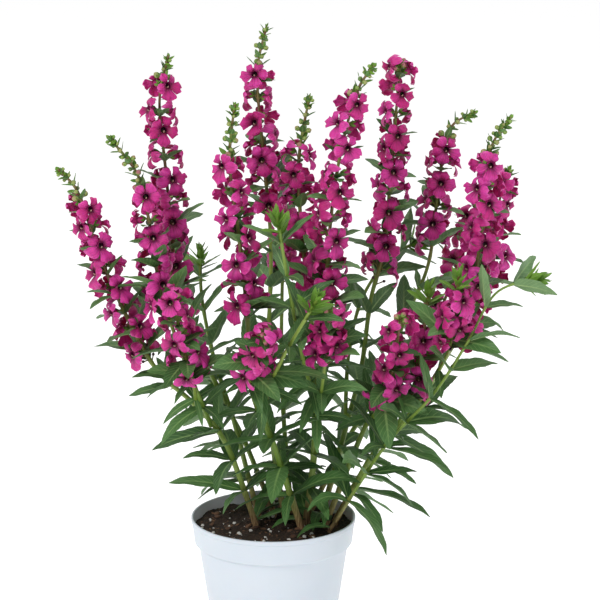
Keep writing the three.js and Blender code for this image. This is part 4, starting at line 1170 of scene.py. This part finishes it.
def make_throat():
    tree = material("throat")
    depth, angle, tone, outside = shares(tree)
    freckles = clouds(place(tree), 1400, 2).step(0.44, 0.58)
    low = abs(angle - 0.5).step(0.22, 0.04)
    inside = blend(depth.step(0.3, 1.0), (0.035, 0.002, 0.016), (0.20, 0.004, 0.075))
    olive = blend(freckles, (0.16, 0.10, 0.03), (0.05, 0.004, 0.015))
    inside = blend(low * (1.0 - depth.step(0.75, 1.0)), inside, olive)
    back = blend(tone, (0.36, 0.006, 0.12), (0.46, 0.02, 0.20))
    finish_shader(tree, blend(outside, inside, back), freckles * 0.2 + 0.35, (freckles, 0.3, 0.0003))


def make_tooth():
    tree = material("tooth")
    along, _, tone, _ = shares(tree)
    speck = clouds(place(tree), 2200, 1).step(0.52, 0.60)
    colour = blend(along, (0.42, 0.16, 0.16), (0.80, 0.72, 0.52))
    colour = blend(speck * 0.6, colour, (0.25, 0.02, 0.06))
    finish_shader(tree, colour, tone * 0.15 + 0.3, (speck, 0.2, 0.0002))


def make_pot_material():
    tree = material("pot_plastic")
    height, inside, _, _ = shares(tree)
    where = place(tree)
    haze = clouds(where, 24, 4)
    fine = clouds(where, 2600, 2)
    scuffs = clouds(place(tree, (1, 1, 7)), 90, 5, 0.7).step(0.62, 0.78)
    blotches = clouds(where, 140, 5, 0.7).step(0.36, 0.62)
    # Inside, the wall turns darker brown towards the soil, in blotches.
    near = inside * height.step(0.62, 0.0) * (blotches + 0.35).clamped()
    colour = blend(haze, (0.55, 0.61, 0.68), (0.63, 0.68, 0.74))
    colour = blend(scuffs * 0.12, colour, (0.50, 0.54, 0.58))
    colour = blend(near, colour, (0.075, 0.035, 0.024))
    finish_shader(tree, colour, haze * 0.16 + 0.34, (fine * 0.3 + haze * 0.4, 0.12, 0.0003),
                  Subsurface_Weight=0.08, Subsurface_Scale=0.004)


def make_soil_material():
    tree = material("peat")
    where = place(tree)
    grains = clouds(where, 520, 6, 0.72)
    lumps = clouds(where, 95, 4, 0.6)
    colour = ramp(grains, [(0.30, (0.010, 0.006, 0.004)), (0.50, (0.034, 0.018, 0.011)),
                           (0.66, (0.085, 0.045, 0.026)), (0.80, (0.17, 0.10, 0.06))])
    colour = blend(lumps.step(0.35, 0.7) * 0.6, colour, (0.013, 0.008, 0.006))
    finish_shader(tree, colour, grains * 0.2 + 0.75, (grains + lumps * 0.8, 0.9, 0.0012))


def make_bit_material(name, dark, pale, roughness):
    tree = material(name)
    _, _, tone, _ = shares(tree)
    grain = clouds(place(tree), 800, 4, 0.65)
    colour = blend((tone * 0.6 + grain * 0.4).clamped(), dark, pale)
    finish_shader(tree, colour, grain * 0.1 + roughness, (grain, 0.6, 0.0005))


make_leaf("leaf", (0.012, 0.062, 0.010), (0.150, 0.325, 0.098), (0.32, 0.50, 0.17),
          vein_share=0.34, roughness=0.40, coat=0.05)
make_leaf("leaf_under", (0.074, 0.165, 0.060), (0.190, 0.325, 0.140), (0.32, 0.46, 0.19),
          vein_share=0.45, roughness=0.50, coat=0)
make_leaf("young_leaf", (0.075, 0.21, 0.022), (0.19, 0.38, 0.045), (0.28, 0.45, 0.10),
          vein_share=0.30, roughness=0.36, coat=0.05)
make_stem()
make_bud()
make_petal()
make_throat()
make_tooth()
make_pot_material()
make_soil_material()
make_bit_material("perlite", (0.55, 0.53, 0.49), (0.86, 0.85, 0.82), roughness=0.75)
make_bit_material("bark", (0.045, 0.020, 0.012), (0.20, 0.10, 0.05), roughness=0.7)
make_bit_material("capsule", (0.020, 0.006, 0.012), (0.09, 0.035, 0.035), roughness=0.4)


def attach(piece, slot, *nodes):
    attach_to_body(piece, "root")
    if nodes:
        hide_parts(*nodes)


# Each piece at a shoot's joints, with its joint's place in the row, its joint, and the number of its draws
def placed(shoot, joints, first):
    for w, joint in enumerate(joints):
        for n, item in enumerate(joint.items):
            if item is not None:
                yield w, joint, item, shoot.seed(first + w * 4 + n)


TIP_LEAF = {"buds": ("young_leaf", "leaf"), "leafy": ("young_leaf", "young_leaf")}


# A leafy stem, with the stalks, sepals and bracts of its flowers
def dress_plant(plant):
    skin = Skin("stem", "leaf", "leaf_under", "young_leaf", "bud", "capsule")
    for shoot in [shoot for shoot in shoots if shoot.plant == plant]:
        add_stem(skin, shoot)
        for _, joint, item, seed in placed(shoot, shoot.green, GREEN_DRAWS):
            up = joint.s / shoot.total
            if item["kind"] == "bud":
                add_bud(skin, item, seed, np.clip(1.15 - 1.3 * (up - 0.82) / 0.18, 0, 1))
            elif item["kind"] == "leaf":
                extra = np.clip((up - 0.55) * 0.9, 0, 0.5)
                add_blade(skin, item, seed, draw(seed, 0), extra, LEAF_GRID, ("leaf", "leaf_under"))
            else:
                add_blade(skin, item, seed, draw(seed, 0), 0.5, TIP_GRID, TIP_LEAF[shoot.tip])
        if shoot.tip == "buds":
            tips = [joint for joint in shoot.green if joint.s > shoot.whorls[-1].s]
            for w, (low, high) in enumerate(zip(tips, tips[1:])):
                add_between(skin, shoot, low, high, w)
        add_rosette(skin, shoot, *ROSETTES[shoot.tip])
        if shoot.tip == "none":
            add_tip_buds(skin, shoot)
        if shoot.whorls and shoot.index % 2 == 0:
            add_capsules(skin, shoot)
        for w, _, item, seed in placed(shoot, shoot.whorls, FLOWER_DRAWS):
            add_flower_green(skin, item, seed)
            add_bract(skin, item, w / (len(shoot.whorls) - 1), seed)
    attach(skin.build("foliage_" + str(plant)), "leafage", "leafy_stem_" + str(plant))


def dress_spike(shoot):
    skin = Skin("petal", "throat", "tooth")
    for _, _, item, seed in placed(shoot, shoot.whorls, FLOWER_DRAWS):
        add_flower(skin, item, seed)
    attach(skin.build("blossoms_" + shoot.name), "petals", bloom_node(shoot))


for plant in sorted({shoot.plant for shoot in shoots}):
    dress_plant(plant)
for shoot in blooming:
    dress_spike(shoot)

# The pot, turned about Z from a finely rounded profile
POT_SEGMENTS = 128
ROUNDING_STEPS = 5
DRILL_SIDES = 32
INNER_DARK_REACH = 12  # how far below the soil's level the darker brown of the inside wall reaches
band_foot = POT_HEIGHT - POT_BAND_HEIGHT
inner_wall = POT_WALL_R - POT_WALL
inner_band = POT_BAND_R - POT_WALL
inner_top = POT_TOP_R - POT_WALL
inner_base = POT_BASE_R - POT_WALL


# The corners of a profile, each rounded by its own radius in a few steps
def rounded(profile):
    made = []
    for i, (out, high, radius) in enumerate(profile):
        p = np.array([out, high], float)
        if radius == 0 or i in (0, len(profile) - 1):
            made.append((out, high))
            continue
        a = p + unit(np.array(profile[i - 1][:2]) - p) * radius
        b = p + unit(np.array(profile[i + 1][:2]) - p) * radius
        for k in np.arange(ROUNDING_STEPS + 1) / ROUNDING_STEPS:
            made.append(tuple(a * (1 - k) ** 2 + p * 2 * k * (1 - k) + b * k * k))
    return made


def level_ring(out, high, sides):
    angles = np.arange(sides) * TURN / sides
    return np.stack([out * np.cos(angles), out * np.sin(angles), np.full(sides, high)], 1)


def make_pot():
    profile = rounded([
        (0, 0, 0), (POT_BASE_R - 6, 0, 0.6), (POT_BASE_R - 4.5, 0.9, 0.6), (POT_BASE_R - 3, 0, 0.6),
        (POT_BASE_R, 0, 1.4), (POT_BASE_R + 0.12, 1.6, 0.5), (POT_WALL_R, band_foot - POT_LEDGE, 0.9),
        (POT_BAND_R, band_foot, 0.7), (POT_BAND_R + 1.9, POT_HEIGHT - 4.2, 0.8),
        (POT_TOP_R, POT_HEIGHT - 3.4, 0.7), (POT_TOP_R, POT_HEIGHT, 0.85), (inner_top, POT_HEIGHT, 0.7),
        (inner_band, band_foot + 1, 0.8), (inner_wall, band_foot - 2, 0.8), (inner_base, POT_FLOOR, 2.0),
        (0, POT_FLOOR, 0),
    ])
    top = max(range(len(profile)), key=lambda i: profile[i][1])
    values = []
    for i, (_, high) in enumerate(profile[1:-1]):
        inside = 1 if i > top and high > SOIL_LEVEL - INNER_DARK_REACH else 0
        values.append((np.clip((high - SOIL_LEVEL) / (POT_HEIGHT - SOIL_LEVEL), 0, 1), inside, 0.5, 0))
    skin = Skin("pot_plastic")
    rings = [level_ring(out, high, POT_SEGMENTS) for out, high in profile[1:-1]]
    add_rings(skin, rings, [(0, 0, 0), (0, 0, POT_FLOOR)], ring_values(values, POT_SEGMENTS), "pot_plastic")
    pot = skin.build("pot_shell", sharp=50)
    cutter = Skin("pot_plastic")
    for i in range(DRAIN_HOLES):
        angle = (i + 0.5) * TURN / DRAIN_HOLES
        path = [(DRAIN_AT_R * math.cos(angle), DRAIN_AT_R * math.sin(angle), high) for high in (-4, 0, 4, 8)]
        add_tube(cutter, path, [DRAIN_R] * 4, DRILL_SIDES, [(0, 0, 0.5, 0)] * 4, "pot_plastic")
    drills = cutter.build("drills")
    cut = pot.modifiers.new("drain", "BOOLEAN")
    cut.object = drills
    cut.solver = "EXACT"
    bpy.context.view_layer.update()
    bored = bpy.data.meshes.new_from_object(pot.evaluated_get(bpy.context.evaluated_depsgraph_get()))
    pot.modifiers.clear()
    pot.data = bored
    bored.name = "pot_shell"
    bpy.data.objects.remove(drills)
    attach(pot, "pot", "pot")


# The soil fills the pot, with an uneven crumbly top.
SOIL_RINGS = 74
SOIL_SECTORS = 220
CRUMB = 1.15
SOIL_GAP = 0.3  # what is left between the soil and the pot
SOIL_FOOT = POT_FLOOR + SOIL_GAP
soil_edge = inner_band + (inner_top - inner_band) * (SOIL_LEVEL - band_foot) / POT_BAND_HEIGHT - SOIL_GAP


def soil_height(x, y):
    z = SOIL_LEVEL + SOIL_BUMP * math.sin(x * 0.21 + 1) * math.cos(y * 0.17)
    p = Vector((x, y, 0))
    crumbs = noise.noise(p * 0.32) * 0.9 + noise.noise(p * 0.85) * 0.75 + noise.noise(p * 1.9) * 0.5
    return z + CRUMB * crumbs


def make_soil():
    outlines = [(inner_base - 2.3, SOIL_FOOT), (inner_wall - 0.5, band_foot - 2.4),
                (inner_band - 0.4, band_foot + 1)]
    rings = [level_ring(out, high, SOIL_SECTORS) for out, high in outlines]
    for n in range(SOIL_RINGS):
        ring = level_ring(soil_edge * (1 - n / SOIL_RINGS), 0, SOIL_SECTORS)
        ring[:, 2] = [soil_height(x, y) for x, y, _ in ring]
        rings.append(ring)
    skin = Skin("peat")
    add_rings(skin, rings, [(0, 0, SOIL_FOOT), (0, 0, soil_height(0, 0))], (0.5, 0.5, 0.5, 0), "peat")
    attach(skin.build("potting_soil", sharp=80), "soil", "soil")


# A broken lump: a ball of few faces whose corners are drawn in and out
LUMP_RINGS = 4
LUMP_SIDES = 6
LUMP_TILT = 0.9


def add_lump(skin, centre, size, seed, tone, kind):
    points = []
    for i in range(1, LUMP_RINGS + 1):
        polar = math.pi * i / (LUMP_RINGS + 1)
        for j in range(LUMP_SIDES):
            angle = TURN * (j + 0.5 * (i % 2)) / LUMP_SIDES
            k = 0.72 + 0.45 * draw(seed, 20 + i * LUMP_SIDES + j)
            across = math.sin(polar) * k
            points.append((across * math.cos(angle), across * math.sin(angle), math.cos(polar) * k))
    points += [(0, 0, 0.9), (0, 0, -0.9)]
    tilt = (draw(seed, 12) - 0.5) * LUMP_TILT
    turn = draw(seed, 11) * PHASES
    c, s = math.cos(tilt), math.sin(tilt)
    points = (np.array(points) * size) @ np.array([[c, 0, s], [0, 1, 0], [-s, 0, c]])
    c, s = math.cos(turn), math.sin(turn)
    points = points @ np.array([[c, s, 0], [-s, c, 0], [0, 0, 1]]) + centre
    rings = points[:-2].reshape(LUMP_RINGS, LUMP_SIDES, 3)
    add_rings(skin, rings, points[-2:], (0.5, 0.5, tone, 0), kind, mirrored=True)


# Lumps of one kind, strewn over the soil
def scatter(name, kind, count, first_seed, smallest, largest, flat):
    skin = Skin(kind)
    for seed in range(first_seed, first_seed + count):
        r = (soil_edge - 2.5) * math.sqrt(draw(seed, 1))
        angle = TURN * draw(seed, 2)
        x, y = r * math.cos(angle), r * math.sin(angle)
        size = smallest + (largest - smallest) * draw(seed, 3) ** 4
        shape = (size, size * (0.45 + 0.5 * draw(seed, 4)), size * flat)
        add_lump(skin, (x, y, soil_height(x, y) + shape[2] * 0.35), shape, seed, draw(seed, 5), kind)
    attach(skin.build(name, sharp=30), "soil")


make_pot()
make_soil()
scatter("perlite_grains", "perlite", count=90, first_seed=60000, smallest=0.6, largest=3.4, flat=0.75)
scatter("bark_chips", "bark", count=260, first_seed=70000, smallest=0.9, largest=3.8, flat=0.32)

# Floor and light
FLOOR_HALF = 14.0
floor_mesh = bpy.data.meshes.new("floor")
corners = [(x * FLOOR_HALF, y * FLOOR_HALF, 0) for x, y in ((-1, -1), (1, -1), (1, 1), (-1, 1))]
floor_mesh.from_pydata(corners, [], [(0, 1, 2, 3)])
floor = show("floor", floor_mesh)
tree = material("floor")
finish_shader(tree, blend(clouds(place(tree), 40, 2), (0.90, 0.90, 0.90), (0.92, 0.92, 0.92)), 0.9,
              Emission_Color=(1, 1, 1), Emission_Strength=0.42)
floor_mesh.materials.append(bpy.data.materials["floor"])

world = bpy.data.worlds.new("studio")
bpy.context.scene.world = world
world.use_nodes = True
world.node_tree.nodes["Background"].inputs["Color"].default_value = (1.0, 1.0, 1.0, 1)
world.node_tree.nodes["Background"].inputs["Strength"].default_value = 0.62


def add_light(name, at, size, power, colour):
    light = bpy.data.lights.new(name, "AREA")
    light.shape = "DISK"
    light.size = size
    light.energy = power
    light.color = colour
    lamp = show(name, light)
    lamp.location = at
    lamp.rotation_euler = (Vector((0, 0, 0.3)) - Vector(at)).to_track_quat("-Z", "Y").to_euler()


add_light("key_light", (-1.3, -1.7, 1.9), size=0.7, power=27, colour=(1.0, 0.985, 0.96))
add_light("fill_light", (1.6, -1.3, 1.0), size=1.2, power=5, colour=(0.96, 0.98, 1.0))
add_light("top_light", (0.2, 0.6, 2.2), size=1.0, power=11, colour=(1.0, 1.0, 1.0))

bpy.context.scene.view_settings.view_transform = "Standard"
